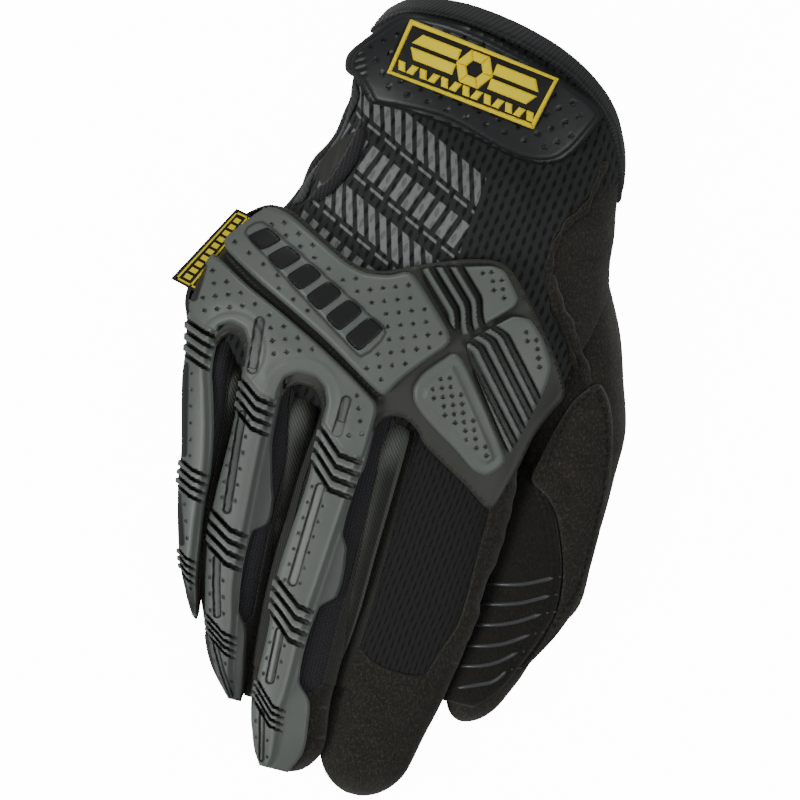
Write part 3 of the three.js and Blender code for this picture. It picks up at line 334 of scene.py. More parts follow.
INDEX = finger(
    [
        (-0.20, 0.200, 0.40, 0.18, 0.70),
        (0.04, 0.204, 0.525, 0.19, 0.80),
        (0.25, 0.202, 0.525, 0.18, 0.70),
        (0.42, 0.202, 0.525, 0.15, 0.62),
        (0.60, 0.190, 0.51, 0.10, 0.53),
        (0.76, 0.169, 0.47, 0.05, 0.45),
        (0.90, 0.155, 0.40, 0.00, 0.38),
        (1.00, 0.150, 0.365, -0.02, 0.33),
    ],
    118.0,
    34.0,
)
MIDDLE = finger(
    [
        (-0.20, -0.100, 0.42, 0.18, 0.80),
        (0.04, -0.101, 0.47, 0.18, 0.90),
        (0.25, -0.117, 0.53, 0.18, 0.83),
        (0.42, -0.117, 0.53, 0.16, 0.76),
        (0.60, -0.116, 0.515, 0.12, 0.68),
        (0.78, -0.107, 0.475, 0.06, 0.57),
        (0.90, -0.083, 0.445, 0.00, 0.47),
        (1.00, -0.064, 0.39, -0.02, 0.40),
    ],
    116.0,
    26.0,
)
RING = finger(
    [
        (-0.20, -0.370, 0.40, 0.15, 0.80),
        (0.04, -0.388, 0.44, 0.15, 0.87),
        (0.25, -0.366, 0.525, 0.14, 0.80),
        (0.45, -0.360, 0.52, 0.12, 0.72),
        (0.62, -0.348, 0.49, 0.07, 0.62),
        (0.78, -0.329, 0.43, 0.02, 0.52),
        (0.90, -0.306, 0.31, -0.02, 0.45),
        (1.00, -0.262, 0.27, -0.02, 0.40),
    ],
    99.0,
    20.0,
    0.15,
)
LITTLE = finger(
    [
        (-0.16, -0.545, 0.40, 0.10, 0.68),
        (0.03, -0.565, 0.43, 0.09, 0.78),
        (0.20, -0.550, 0.44, 0.07, 0.74),
        (0.40, -0.526, 0.33, 0.05, 0.67),
        (0.60, -0.509, 0.245, 0.02, 0.58),
        (0.75, -0.488, 0.21, 0.00, 0.50),
        (0.88, -0.464, 0.16, -0.02, 0.44),
        (1.00, -0.435, 0.145, -0.02, 0.38),
    ],
    78.5,
    16.0,
    0.4,
)
THUMB = finger(
    [
        (-0.67, 0.37, 0.35, 0.05, 0.60),
        (-0.45, 0.440, 0.46, 0.00, 0.62),
        (-0.27, 0.490, 0.50, -0.02, 0.62),
        (-0.09, 0.525, 0.535, -0.02, 0.60),
        (0.09, 0.537, 0.515, -0.02, 0.57),
        (0.27, 0.537, 0.49, -0.02, 0.54),
        (0.45, 0.539, 0.49, -0.02, 0.50),
        (0.54, 0.530, 0.48, -0.02, 0.47),
        (0.63, 0.504, 0.41, -0.02, 0.44),
        (0.72, 0.480, 0.36, -0.02, 0.41),
        (0.81, 0.458, 0.33, -0.02, 0.38),
        (0.90, 0.432, 0.30, -0.02, 0.35),
        (1.00, 0.412, 0.28, -0.02, 0.32),
    ],
    89.0,
    28.0,
    -0.1,
    THUMB_ROUND,
)
TUBES = (HAND, INDEX, MIDDLE, RING, LITTLE, THUMB)


def height(x: Array, y: Array, lift: Union[float, Array] = 0.0, blend: float = BLEND) -> Array:
    """Height of the glove's upper side, or of a layer at a distance from it.

    It is the sum of the tubes' tops to a high power, and of a bridge that falls gently from the
    knuckles over the finger roots, taken back to the first power.

    Args:
        x: places across.
        y: places along, of the same shape.
        lift: distance out from the cloth.
        blend: the power of the sum.

    Returns:
        The height at each place.
    """
    total = np.full(np.broadcast(x, y).shape, 0.3**blend)
    for tube in TUBES:
        cut = tube.section(y, -lift)
        covered = (y > tube.tip - lift) & (y < tube.root) & (np.abs(x - cut.middle) < cut.half)
        top = np.maximum(tube.top(x, y, -lift), 0.0) / HAND_HEIGHT
        total = total + np.where(covered, top, 0.0) ** blend
    front = HAND.tip + HAND.round_length
    share = np.clip((front - y) / (0.5 * HAND_LENGTH), 0.0, 1.0)
    bridge = HAND.top(x, np.full_like(y, front), -lift) - 0.24 * (front - y)
    weight = ease(0.0, BRIDGE_START, front - y) * (share < 1)
    total = total + weight * (np.maximum(bridge, 0.0) / HAND_HEIGHT) ** blend
    return HAND_HEIGHT * total ** (1 / blend)


def chaikin(points: Sequence[Point], share: float, rounds: int = 2) -> Array:
    """Rounds a closed outline by cutting each corner at that share of its two sides.

    Args:
        points: the outline's corners, in millimetres.
        share: how much of each side a corner takes; a small share keeps it crisp.
        rounds: how often the corners are cut.

    Returns:
        The rounded outline, one row for each point.
    """
    line = np.array(points, float)
    for step in range(rounds):
        cut = share if step == 0 else 0.25
        after = np.roll(line, -1, axis=0)
        line = np.stack([line * (1 - cut) + after * cut, line * cut + after * (1 - cut)], axis=1)
        line = line.reshape(-1, 2)
    return line


@dataclass
class Nearest:
    """The nearest point of an open line: its distance, its place along the line, and itself."""

    gap: Array
    run: Array
    x: Array
    y: Array


def nearest(x: Array, y: Array, line: Sequence[Point]) -> Nearest:
    """Finds the nearest point of an open line, by dropping a foot onto each segment in turn.

    Args:
        x: places across.
        y: places along.
        line: the line's points.

    Returns:
        The nearest point of the line to each place.
    """
    found = Nearest(*(np.full(np.shape(x), value) for value in (np.inf, 0.0, 0.0, 0.0)))
    gone = 0.0
    for (ax, ay), (bx, by) in zip(line[:-1], line[1:]):
        dx = bx - ax
        dy = by - ay
        t = np.clip(((x - ax) * dx + (y - ay) * dy) / max(dx * dx + dy * dy, 1e-12), 0.0, 1.0)
        gap = np.hypot(x - ax - t * dx, y - ay - t * dy)
        closer = gap < found.gap
        size = math.hypot(dx, dy)
        for column, value in (("run", gone + t * size), ("x", ax + t * dx), ("y", ay + t * dy)):
            setattr(found, column, np.where(closer, value, getattr(found, column)))
        found.gap = np.where(closer, gap, found.gap)
        gone += size
    return found


def loop(outline: Array) -> Array:
    """A closed outline as an open line that ends where it starts."""
    return np.concatenate([outline, outline[:1]])


def depth_in(x: Array, y: Array, outline: Array) -> Array:
    """Distance in from an outline, minus outside it. A ray to +X counts the sides it crosses.

    Args:
        x: places across.
        y: places along.
        outline: the closed outline.

    Returns:
        The distance, minus outside.
    """
    inside = np.zeros(np.shape(x), bool)
    for (ax, ay), (bx, by) in zip(outline, np.roll(outline, -1, axis=0)):
        if ay != by:
            crosses = (ay > y) != (by > y)
            inside ^= crosses & (x < (bx - ax) * (y - ay) / (by - ay) + ax)
    distance = nearest(x, y, loop(outline)).gap
    return np.where(inside, distance, -distance)


def pits(x: Array, y: Array, pitch: float, size: float, turn: float, where: Lift) -> Array:
    """Staggered square pits: 1 in a pit and 0 between them.

    Every second row is shifted by half the pitch, and the larger of the two distances from the
    nearest cell's middle gives the square.

    Args:
        x: places across.
        y: places along.
        pitch: distance from one pit to the next in a row.
        size: side of a pit.
        turn: turn of the rows, in radians.
        where: tells from the middle of each pit whether it is there.

    Returns:
        The share of the pit's depth at each place.
    """
    across = x * math.cos(turn) + y * math.sin(turn)
    along = y * math.cos(turn) - x * math.sin(turn)
    row = np.floor(along / (pitch * 0.5))
    shift = np.where(row % 2 == 0, 0.0, 0.5 * pitch)
    u = np.mod(across + shift, pitch) - pitch / 2
    v = along - (row + 0.5) * pitch * 0.5
    edge = np.maximum(np.abs(u), np.abs(v))
    a = across - u
    b = along - v
    there = where(a * math.cos(turn) - b * math.sin(turn), a * math.sin(turn) + b * math.cos(turn))
    return (1 - ease(size / 2 - 0.15, size / 2 + 0.2, edge)) * there


def grid_faces(rows: int, columns: int, start: int = 0, flip: bool = False) -> Array:
    """Corner numbers of the quads of a grid whose points are stored row by row.

    Args:
        rows: points along.
        columns: points across.
        start: number of the first point.
        flip: turns the quads over.

    Returns:
        One row of four corner numbers for each quad.
    """
    r, c = np.meshgrid(np.arange(rows - 1), np.arange(columns - 1), indexing="ij")
    a = (start + r * columns + c).ravel()
    quads = np.stack([a, a + 1, a + columns + 1, a + columns], axis=1)
    return quads[:, ::-1] if flip else quads


def build(
    name: str,
    points: Array,
    faces: Sequence[Array],
    uv: Array,
    values: dict[str, Array],
    smooth_angle: float = 40.0,
) -> bpy.types.Object:
    """Puts points and faces into a mesh object.

    Args:
        name: the piece's name.
        points: one row for each point, in the glove's millimetres.
        faces: arrays of quads or triangles, as corner numbers.
        uv: one row for each point, in millimetres of cloth.
        values: what the materials read at each point, by attribute name, such as shade, the
            share by which a point is darkened.
        smooth_angle: edges that turn more than this many degrees stay sharp.

    Returns:
        The object, at the origin.
    """
    mesh = bpy.data.meshes.new(name)
    corners = np.concatenate([np.asarray(block).ravel() for block in faces])
    totals = np.concatenate([np.full(len(block), block.shape[1]) for block in faces])
    starts = np.concatenate([[0], np.cumsum(totals)[:-1]])
    mesh.vertices.add(len(points))
    mesh.vertices.foreach_set("co", PLACE.out(points).astype(np.float32).ravel())
    mesh.loops.add(len(corners))
    mesh.loops.foreach_set("vertex_index", corners.astype(np.int32))
    mesh.polygons.add(len(totals))
    mesh.polygons.foreach_set("loop_start", starts.astype(np.int32))
    mesh.update(calc_edges=True)
    layer = mesh.uv_layers.new(name="UVMap")
    layer.data.foreach_set("uv", (uv[corners] / UV_SPAN).astype(np.float32).ravel())
    for key, column in values.items():
        attribute = mesh.attributes.new(key, "FLOAT", "POINT")
        attribute.data.foreach_set("value", np.asarray(column, np.float32).ravel())
    mesh.validate()
    mesh.shade_smooth()
    mesh.set_sharp_from_angle(angle=math.radians(smooth_angle))
    piece = bpy.data.objects.new(name, mesh)
    bpy.context.scene.collection.objects.link(piece)
    return piece


def slab(
    name: str,
    outer: Array,
    inner: Array,
    uv: Array,
    shade: Union[float, Array] = 0.0,
    extra: Optional[dict[str, Array]] = None,
    smooth_angle: float = 50.0,
) -> bpy.types.Object:
    """A closed piece between two grids of points, joined by walls round the rim.

    Args:
        name: the piece's name.
        outer: points of the side that is seen, as rows by columns by 3.
        inner: points of the other side, of the same shape.
        uv: place of each point on the cloth, in millimetres.
        shade: how much each outer point is darkened.
        extra: further values for each outer point.
        smooth_angle: edges that turn more than this stay sharp.

    Returns:
        The object.
    """
    rows, columns = outer.shape[:2]
    count = rows * columns
    ring = np.concatenate(
        [
            np.arange(columns),
            np.arange(1, rows) * columns + columns - 1,
            (rows - 1) * columns + np.arange(columns - 2, -1, -1),
            np.arange(rows - 2, 0, -1) * columns,
        ]
    )
    after = np.roll(ring, -1)
    wall = np.stack([ring, ring + count, after + count, after], axis=1)
    points = np.concatenate([outer.reshape(-1, 3), inner.reshape(-1, 3)])
    faces = [grid_faces(rows, columns), grid_faces(rows, columns, count, flip=True), wall]
    i = rows // 2
    j = columns // 2
    across = outer[i, j] - outer[i, j - 1]
    along = outer[i, j] - outer[i - 1, j]
    if np.dot(np.cross(across, along), outer[i, j] - inner[i, j]) < 0:
        faces = [block[:, ::-1] for block in faces]
    values = dict(extra or {}, shade=np.broadcast_to(shade, outer.shape[:2]))
    both = {key: np.tile(np.ravel(value), 2) for key, value in values.items()}
    return build(name, points, faces, np.tile(uv.reshape(-1, 2), (2, 1)), both, smooth_angle)


def draped(
    name: str, outline: Array, step: float, foot: float, top: Relief, blend: float = BLEND
) -> bpy.types.Object:
    """A closed piece over an outline seen from above, that follows the glove's upper side.

    A square grid covers the outline. Its points near the outline are moved onto it, and the
    triangles with a corner outside are dropped. The same triangles, turned over, close the
    piece below, and walls join the two round the outline.

    Args:
        name: the piece's name.
        outline: the closed outline, in millimetres.
        step: the grid's step.
        foot: how far the underside lies from the cloth.
        top: gives the lift and the shade from x, y and the depth in from the outline.
        blend: the power of the height blend.

    Returns:
        The object.
    """
    low = outline.min(axis=0) - 1.5 * step
    high = outline.max(axis=0) + 1.5 * step
    xs = np.arange(low[0], high[0], step)
    ys = np.arange(low[1], high[1], step)
    x, y = np.meshgrid(xs, ys)
    depth = depth_in(x, y, outline)
    near = np.abs(depth) < HALF_DIAGONAL * step
    rim = nearest(x[near], y[near], loop(outline))
    x[near] = rim.x
    y[near] = rim.y
    depth = np.where(near, 0.0, depth)
    use = depth >= 0
    quads = grid_faces(*x.shape)
    triangles = np.concatenate([quads[:, [0, 1, 2]], quads[:, [0, 2, 3]]])
    fx = x.ravel()
    fy = y.ravel()
    triangles = triangles[use.ravel()[triangles].all(axis=1)]
    ax, bx, cx = (fx[triangles[:, i]] for i in range(3))
    ay, by, cy = (fy[triangles[:, i]] for i in range(3))
    area = (bx - ax) * (cy - ay) - (cx - ax) * (by - ay)
    triangles = triangles[area > 1e-3 * step * step]
    mx = fx[triangles].mean(axis=1)
    my = fy[triangles].mean(axis=1)
    triangles = triangles[depth_in(mx, my, outline) > 0]
    kept, triangles = np.unique(triangles, return_inverse=True)
    triangles = triangles.reshape(-1, 3)
    vx = fx[kept]
    vy = fy[kept]
    lift, shade = top(vx, vy, depth.ravel()[kept])
    upper = pack(vx, vy, height(vx, vy, lift, blend))
    lower = pack(vx, vy, height(vx, vy, foot, blend))
    lower[:, 2] = np.minimum(lower[:, 2], upper[:, 2] - 0.05)
    count = len(kept)
    edges = np.concatenate([triangles[:, [0, 1]], triangles[:, [1, 2]], triangles[:, [2, 0]]])
    keys = edges[:, 0] * count + edges[:, 1]
    back = edges[:, 1] * count + edges[:, 0]
    a, b = edges[~np.isin(keys, back)].T
    walls = np.stack([b, a, a + count, b + count], axis=1)
    faces = [triangles, triangles[:, ::-1] + count, walls]
    # The underside takes full painted shade, so the walls darken towards the cloth.
    dark = {"shade": np.concatenate([shade, np.ones(count)])}
    return build(name, np.concatenate([upper, lower]), faces, np.tile(pack(vx, vy), (2, 1)), dark)


def patch(
    name: str,
    tube: Tube,
    ys: Array,
    right: Union[float, Side],
    left: Union[float, Side],
    columns: int,
    lift: Union[float, Lift] = 0.0,
    bend: Optional[Lift] = None,
) -> bpy.types.Object:
    """A panel of cloth on a tube, between two angles at each place along it.

    Args:
        name: the piece's name.
        tube: the tube that it lies on.
        ys: places along, from one end of the panel to the other.
        right: angle of the panel's first side, or a function that gives it at each place.
        left: angle of its other side, the same.
        columns: points across.
        lift: distance out from the tube, or a function of the places and the angles.
        bend: moves the places along, from the places and the angles.

    Returns:
        The object.
    """
    share = np.linspace(0, 1, columns)[None, :]
    y = np.asarray(ys, float)[:, None] + 0 * share
    first, last = (side(y) if callable(side) else side for side in (right, left))
    angle = first * (1 - share) + last * share
    if bend:
        y = bend(y, angle)
    out = lift(y, angle) if callable(lift) else lift
    outer = tube.point(y, angle, -out)
    inner = tube.point(y, angle, WALL - out)
    outer[..., 2] = np.maximum(outer[..., 2], 0.0)
    inner[..., 2] = np.maximum(inner[..., 2], WALL * 0.7)
    middle = outer[..., 0] - tube.section(y).middle
    steps = np.hypot(np.diff(outer[..., 0], axis=1), np.diff(outer[..., 2], axis=1))
    run = np.concatenate([np.zeros_like(y[:, :1]), np.cumsum(steps, axis=1)], axis=1)
    crest = np.argmin(np.abs(middle) + 1000 * (np.sin(angle) < 0), axis=1)[:, None]
    at_crest = np.take_along_axis(run, crest, axis=1)
    across = np.take_along_axis(outer[..., 0], crest, axis=1) - (run - at_crest)
    return slab(name, outer, inner, pack(across, y))


def operation(kind: str, meaning: str) -> Callable[..., "Value"]:
    """Makes a method of Value that adds the Math node of that kind.

    Args:
        kind: the node's operation.
        meaning: the method's docstring.

    Returns:
        The method, which takes the node's further inputs.
    """

    def method(self: "Value", *others: Union["Value", float]) -> "Value":
        """Adds the node."""
        return self.math(kind, *others)

    method.__doc__ = meaning
    return method


class Value:
    """A number that comes out of a shader node, on which Python's operators add Math nodes."""

    def __init__(self, shader: "Shader", socket: bpy.types.NodeSocket) -> None:
        """Wraps a socket."""
        self.shader = shader
        self.socket = socket

    def math(self, operation: str, *others: Union["Value", float]) -> "Value":
        """Adds a Math node with this value first.

        Args:
            operation: the node's operation.
            others: its further inputs.

        Returns:
            What comes out.
        """
        inputs = {0: self.socket}
        for i, other in enumerate(others):
            inputs[i + 1] = other.socket if isinstance(other, Value) else float(other)
        return self.shader.node("ShaderNodeMath", {"operation": operation}, inputs)

    def __rsub__(self, other: float) -> "Value":
        """A number less this value."""
        return (self * -1.0) + other

    __add__ = operation("ADD", "Sum.")
    __sub__ = operation("SUBTRACT", "Difference.")
    __mul__ = operation("MULTIPLY", "Product.")
    __truediv__ = operation("DIVIDE", "Quotient.")
    __radd__ = __add__
    __rmul__ = __mul__
    wave = operation("SINE", "Sine.")
    size = operation("ABSOLUTE", "Size without its sign.")
    part = operation("FRACT", "What is left after the whole number.")
    whole = operation("FLOOR", "The whole number below.")

    def above(self, level: float, soft: float) -> "Value":
        """A smooth step from 0 to 1 round a level."""
        return self.shader.ramp(self, level - soft, level + soft)


class Shader:
    """One material's nodes, with a Principled shader at the end."""

    def __init__(self, name: str) -> None:
        """Starts the material.

        Args:
            name: the material's name.
        """
        self.material = bpy.data.materials.new(name)
        self.material.use_nodes = True
        self.tree = self.material.node_tree
        self.tree.nodes.clear()
        self.surface = self.tree.nodes.new("ShaderNodeBsdfPrincipled")
        end = self.tree.nodes.new("ShaderNodeOutputMaterial")
        self.tree.links.new(self.surface.outputs["BSDF"], end.inputs["Surface"])

    def node(
        self,
        kind: str,
        settings: dict[str, object],
        inputs: dict[Union[str, int], object],
        out: Union[str, int] = 0,
    ) -> Value:
        """Adds a node.

        Args:
            kind: the node's type.
            settings: its settings, which are set first.
            inputs: values or sockets for its inputs.
            out: which output is wanted.

        Returns:
            The output, wrapped.
        """
        made = self.tree.nodes.new(kind)
        for key, value in settings.items():
            setattr(made, key, value)
        self.feed(made, inputs)
        return Value(self, made.outputs[out])

    def feed(self, node: bpy.types.Node, inputs: dict[Union[str, int], object]) -> None:
        """Sets or links a node's inputs.

        Args:
            node: the node.
            inputs: values or sockets, by the input's name or number.
        """
        for key, value in inputs.items():
            source = value.socket if isinstance(value, Value) else value
            if isinstance(source, bpy.types.NodeSocket):
                self.tree.links.new(source, node.inputs[key])
            else:
                node.inputs[key].default_value = source

    def cloth(self) -> tuple[Value, Value, Value]:
        """The UV map in millimetres of cloth: across, along, and both as one vector.

        Returns:
            Across, along, and the vector of both.
        """
        uv = self.node("ShaderNodeUVMap", {"uv_map": "UVMap"}, {})
        scaled = self.node("ShaderNodeVectorMath", {"operation": "SCALE"}, {0: uv, "Scale": UV_SPAN})
        parts = self.node("ShaderNodeSeparateXYZ", {}, {0: scaled})
        node = parts.socket.node
        return Value(self, node.outputs[0]), Value(self, node.outputs[1]), scaled

    def attribute(self, name: str) -> Value:
        """A value that the mesh holds for each point."""
        return self.node("ShaderNodeAttribute", {"attribute_name": name}, {}, "Fac")

    def noise(self, vector: Value, scale: float, detail: float = 2.0, rough: float = 0.5) -> Value:
        """Noise around one half, with that many bumps in a unit of the vector.

        Args:
            vector: where it is read.
            scale: bumps in a unit of the vector.
            detail: how many finer layers it has.
            rough: how strong they are.

        Returns:
            The noise, from 0 to 1.
        """
        return self.node(
            "ShaderNodeTexNoise",
            {},
            {"Vector": vector, "Scale": scale, "Detail": detail, "Roughness": rough},
            "Fac",
        )

    def vector(self, x: Union[Value, float], y: Union[Value, float]) -> Value:
        """A vector from two values."""
        return self.node("ShaderNodeCombineXYZ", {}, {0: x, 1: y})

    def ramp(self, value: Value, start: float, stop: float) -> Value:
        """A smooth step from 0 at start to 1 at stop.

        Args:
            value: what is stepped.
            start: where the step starts.
            stop: where it ends.

        Returns:
            The step, from 0 to 1.
        """
        return self.node(
            "ShaderNodeMapRange",
            {"interpolation_type": "SMOOTHSTEP"},
            {"Value": value, "From Min": start, "From Max": stop},
        )

    def mix(self, share: Union[Value, float], one: object, two: object) -> Value:
        """Mixes two colours, the second in that share."""
        return self.node("ShaderNodeMix", {"data_type": "RGBA"}, {0: share, 6: one, 7: two}, 2)

    def finish(
        self,
        colour: object,
        roughness: Union[Value, float],
        bump: Value,
        depth: float,
        sheen: float = 0.0,
        specular: float = 0.5,
    ) -> bpy.types.Material:
        """Feeds the shader.

        Args:
            colour: base colour, a value or a constant.
            roughness: a value or a constant.
            bump: height of the relief, from 0 to 1.
            depth: millimetres that the relief's 1 stands for.
            sheen: weight of the cloth's sheen.
            specular: level of the plain reflection.

        Returns:
            The material.
        """
        relief = {"Strength": 1.0, "Distance": depth * MM, "Height": bump}
        self.feed(
            self.surface,
            {
                "Base Color": colour,
                "Roughness": roughness,
                "Sheen Weight": sheen,
                "Sheen Roughness": 0.5,
                "Specular IOR Level": specular,
                "Normal": self.node("ShaderNodeBump", {}, relief),
            },
        )
        return self.material


def tint(code: str, scale: float = 1.0) -> tuple[float, float, float, float]:
    """A screen colour as the linear values that a shader takes, times a scale.

    Args:
        code: the colour as #rrggbb.
        scale: makes it darker or lighter.

    Returns:
        Red, green, blue and 1.
    """
    parts = [int(code[i : i + 2], 16) / 255 for i in (1, 3, 5)]
    linear = [p / 12.92 if p <= 0.04045 else ((p + 0.055) / 1.055) ** 2.4 for p in parts]
    return (linear[0] * scale, linear[1] * scale, linear[2] * scale, 1.0)


@dataclass(frozen=True)
class Suede:
    """Napped synthetic suede: soft clouds where the nap turns, and fine crumbs."""

    colour: str = "#262520"
    worn: str = "#474337"

    def material(self) -> bpy.types.Material:
        """Builds the finish.

        Returns:
            The material.
        """
        shader = Shader("suede")
        x, y, cloth = shader.cloth()
        clouds = shader.noise(cloth, 0.16, 4.0, 0.6)
        crumbs = shader.noise(cloth, 1.25, 4.0, 0.8)
        nap = shader.noise(shader.vector(x * 2.6 + clouds * 4.0, y * 0.7 + x * 0.5), 1.0, 4.0, 0.7)
        share = clouds.above(0.52, 0.2) * 0.14 + (nap * 0.5 + crumbs * 0.5).above(0.55, 0.07) * 0.85
        dark = 1 - shader.attribute("shade") * 0.75
        colour = shader.mix(share, tint(self.colour, 0.55), tint(self.worn))
        colour = shader.mix(dark, tint("#0b0a09"), colour)
        return shader.finish(colour, 0.95, nap + crumbs * 0.5 + clouds * 0.5, 0.35, 0.25, 0.25)


@dataclass(frozen=True)
class Knit:
    """Knitted cloth with short slits in staggered columns."""

    name: str = "knit"
    colour: str = "#292a2b"
    column: float = 2.5
    row: float = 4.2
    thin: float = 4.3
    print_on: bool = False

    def material(self) -> bpy.types.Material:
        """Builds the finish: slits are dark, and stitches run up each column.

        Returns:
            The material.
        """
        shader = Shader(self.name)
        x, y, cloth = shader.cloth()
        wobble = shader.noise(cloth, 0.08, 1.0) * 1.6
        u = (x + wobble - y * 0.12) / self.column
        odd = (u * 0.5).whole() * 2.0
        shift = (u.whole() - odd) * 0.5
        v = y / self.row + shift
        across = (u.part() - 0.5).size()
        along = (v.part() - 0.5).size()
        slit = 1 - (across * self.thin + along * along * 7.0).above(1.0, 0.28)
        rib = (across * 2 * math.pi).math("COSINE") * -0.5 + 0.5
        loops = (y * (2 * math.pi / 0.55) + (u.part() - 0.5).size() * 6.0).wave() * 0.5 + 0.5
        fuzz = shader.noise(cloth, 2.4, 3.0, 0.7)
        tone = rib * 0.35 + loops * 0.35 + fuzz * 0.5
        colour = shader.mix(tone, tint(self.colour, 0.45), tint(self.colour, 1.35))
        colour = shader.mix(slit * 0.88, colour, tint("#060607"))
        if self.print_on:
            mark = self.tread(shader, x, y)
            paint = mark * (1 - slit * 0.3) * (fuzz * 0.5 + 0.75)
            colour = shader.mix(paint, colour, tint("#7b7f7d"))
        colour = shader.mix(shader.attribute("shade") * 0.85, colour, tint("#050506"))
        relief = tone * 0.5 + (1 - slit) * 0.6
        return shader.finish(colour, 0.92, relief, 0.3, 0.15, 0.3)

    def tread(self, shader: Shader, x: Value, y: Value) -> Value:
        """Three sloping rows of plain tread marks on the back of the hand.

        Along a row the marks lean to and fro, each row the other way, and a thin bar runs
        between the rows.

        Args:
            shader: the material's nodes.
            x: across the cloth.
            y: along the cloth.

        Returns:
            1 on a mark and 0 beside it.
        """
        slope = 0.47
        rows = 15.5
        q = (y + x * slope - 76.5) / rows
        row = q.whole()
        lie = q.part()
        lean = (row * 0.5).part() * 4.0 - 1.0
        p = (x + lie * lean * 5.0) / 4.0
        bars = 1 - (p.part() - 0.5).size().above(0.29, 0.06)
        bar_rows = (1 - (lie - 0.56).size().above(0.30, 0.015))
        foot = (1 - (lie - 0.13).size().above(0.03, 0.012))
        dashes = 1 - ((x / 6.2).part() - 0.5).size().above(0.36, 0.03)
        marks = bars * bar_rows + foot * dashes
        span = (row + 2.5).size()
        band = 1 - span.above(2.0, 0.02)
        right = 1 - (x - y * 0.10).above(2.0, 0.2)
        left = (x + 35.0 - row * 2.0).above(0.0, 0.2)
        return (marks * band * right * left).math("MINIMUM", 1.0)


@dataclass(frozen=True)
class Ribbed:
    """Finely ribbed knit, for the windows beside the guards."""

    column: float = 1.05
    colour: str = "#232326"

    def material(self) -> bpy.types.Material:
        """Builds the finish: fine columns of loops.

        Returns:
            The material.
        """
        shader = Shader("ribbed knit")
        x, y, cloth = shader.cloth()
        u = x / self.column
        across = (u.part() - 0.5).size()
        odd = (u.whole() * 0.5).part()
        loops = (y * (2 * math.pi / 1.1) + odd * 6.28).wave() * 0.5 + 0.5
        fuzz = shader.noise(cloth, 2.6, 3.0, 0.7)
        tone = (1 - across * 2.0) * 0.5 + loops * 0.3 + fuzz * 0.4
        colour = shader.mix(tone, tint(self.colour, 0.30), tint(self.colour, 1.9))
        colour = shader.mix(shader.attribute("shade") * 0.85, colour, tint("#040404"))
        return shader.finish(colour, 0.92, tone, 0.35, 0.15, 0.3)


@dataclass(frozen=True)
class Twill:
    """Twill tape: fine diagonal ribs."""

    name: str = "twill"
    colour: str = "#33342f"
    rib: float = 0.85

    def material(self) -> bpy.types.Material:
        """Builds the finish.

        Returns:
            The material.
        """
        shader = Shader(self.name)
        x, y, cloth = shader.cloth()
        ribs = ((x * 0.8 + y * 0.6) * (2 * math.pi / self.rib)).wave() * 0.5 + 0.5
        threads = ((x * 0.6 - y * 0.8) * (2 * math.pi / 0.45)).wave() * 0.5 + 0.5
        fuzz = shader.noise(cloth, 2.0, 3.0, 0.7)
        tone = ribs * 0.55 + threads * 0.2 + fuzz * 0.35
        colour = shader.mix(tone, tint(self.colour, 0.45), tint(self.colour, 1.25))
        colour = shader.mix(shader.attribute("shade") * 0.8, colour, tint("#080807"))
        return shader.finish(colour, 0.9, tone, 0.25, 0.2, 0.3)


@dataclass(frozen=True)
class Rubber:
    """Moulded rubber: a fine matt grain, dark in its grooves and pale along its edges."""

    name: str
    colour: str
    # pale: colour of the painted highlights along edges, lips and crests
    pale: str
    roughness: float = 0.55
    grain: float = 0.05

    def material(self) -> bpy.types.Material:
        """Builds the finish.

        Returns:
            The material.
        """
        shader = Shader(self.name)
        _, _, cloth = shader.cloth()
        fine = shader.noise(cloth, 3.2, 3.0, 0.7)
        broad = shader.noise(cloth, 0.07, 2.0, 0.5)
        shade = shader.attribute("shade")
        edge = shader.attribute("edge")
        tone = broad.above(0.5, 0.25) * 0.35 + fine * 0.3
        colour = shader.mix(tone, tint(self.colour, 0.88), tint(self.colour, 1.12))
        # The edge value paints highlights in the pale colour, and the shade value paints shade.
        colour = shader.mix(edge * 0.55, colour, tint(self.pale))
        colour = shader.mix(shade, colour, tint("#0c0c0c"))
        return shader.finish(colour, fine * 0.14 + (self.roughness - 0.07), fine, self.grain)


class Finish(Enum):
    """The glove's finishes, by the record's slot and the material's builder."""

    SUEDE = ("suede", Suede())
    HAND_KNIT = ("knit", Knit("hand knit", print_on=True))
    KNIT = ("knit", Knit("finger knit", "#202020", 1.5, 4.6, 5.6))
    RIBBED = ("knit", Ribbed())
    TWILL = ("twill", Twill())
    # A lighter copy of the twill: painted light on the webs' lit side and top.
    LIT_WEB = ("twill", Twill("lit web twill", "#62665f"))
    BINDING = ("binding", Twill("binding", "#38393a", 1.3))
    # The last colour of each rubber is the colour of its painted highlights.
    SHEET = ("sheet", Rubber("guard sheet", "#3c3d38", "#66675f", 0.6))
    RUBBER = ("rubber", Rubber("guard rubber", "#646a66", "#979d98", 0.5))
    STRAP = ("strap_rubber", Rubber("strap rubber", "#1f2122", "#55585a", 0.42))
    RIDGE = ("strap_rubber", Rubber("ridge rubber", "#26272a", "#6d7074", 0.28))
    PLAQUE = ("plaque", Rubber("plaque rubber", "#0f1012", "#26272a", 0.5))
    YELLOW = ("yellow", Rubber("yellow rubber", "#ffe600", "#fff020", 0.6))


@dataclass
class Dresser:
    """Gives each piece its finish, its body and the packed node that it stands for."""

    made: dict[Finish, bpy.types.Material] = field(default_factory=dict)

    def wear(self, piece: bpy.types.Object, finish: Finish, *nodes: str) -> bpy.types.Object:
        """Dresses one piece.

        Args:
            piece: the object.
            finish: its finish.
            nodes: packed nodes that it replaces.

        Returns:
            The same object.
        """
        if finish not in self.made:
            self.made[finish] = finish.value[1].material()
        piece.data.materials.clear()
        piece.data.materials.append(self.made[finish])
        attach(piece, "root")
        if nodes:
            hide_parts(*nodes)
        log.info("%s: %d faces", piece.name, len(piece.data.polygons))
        return piece


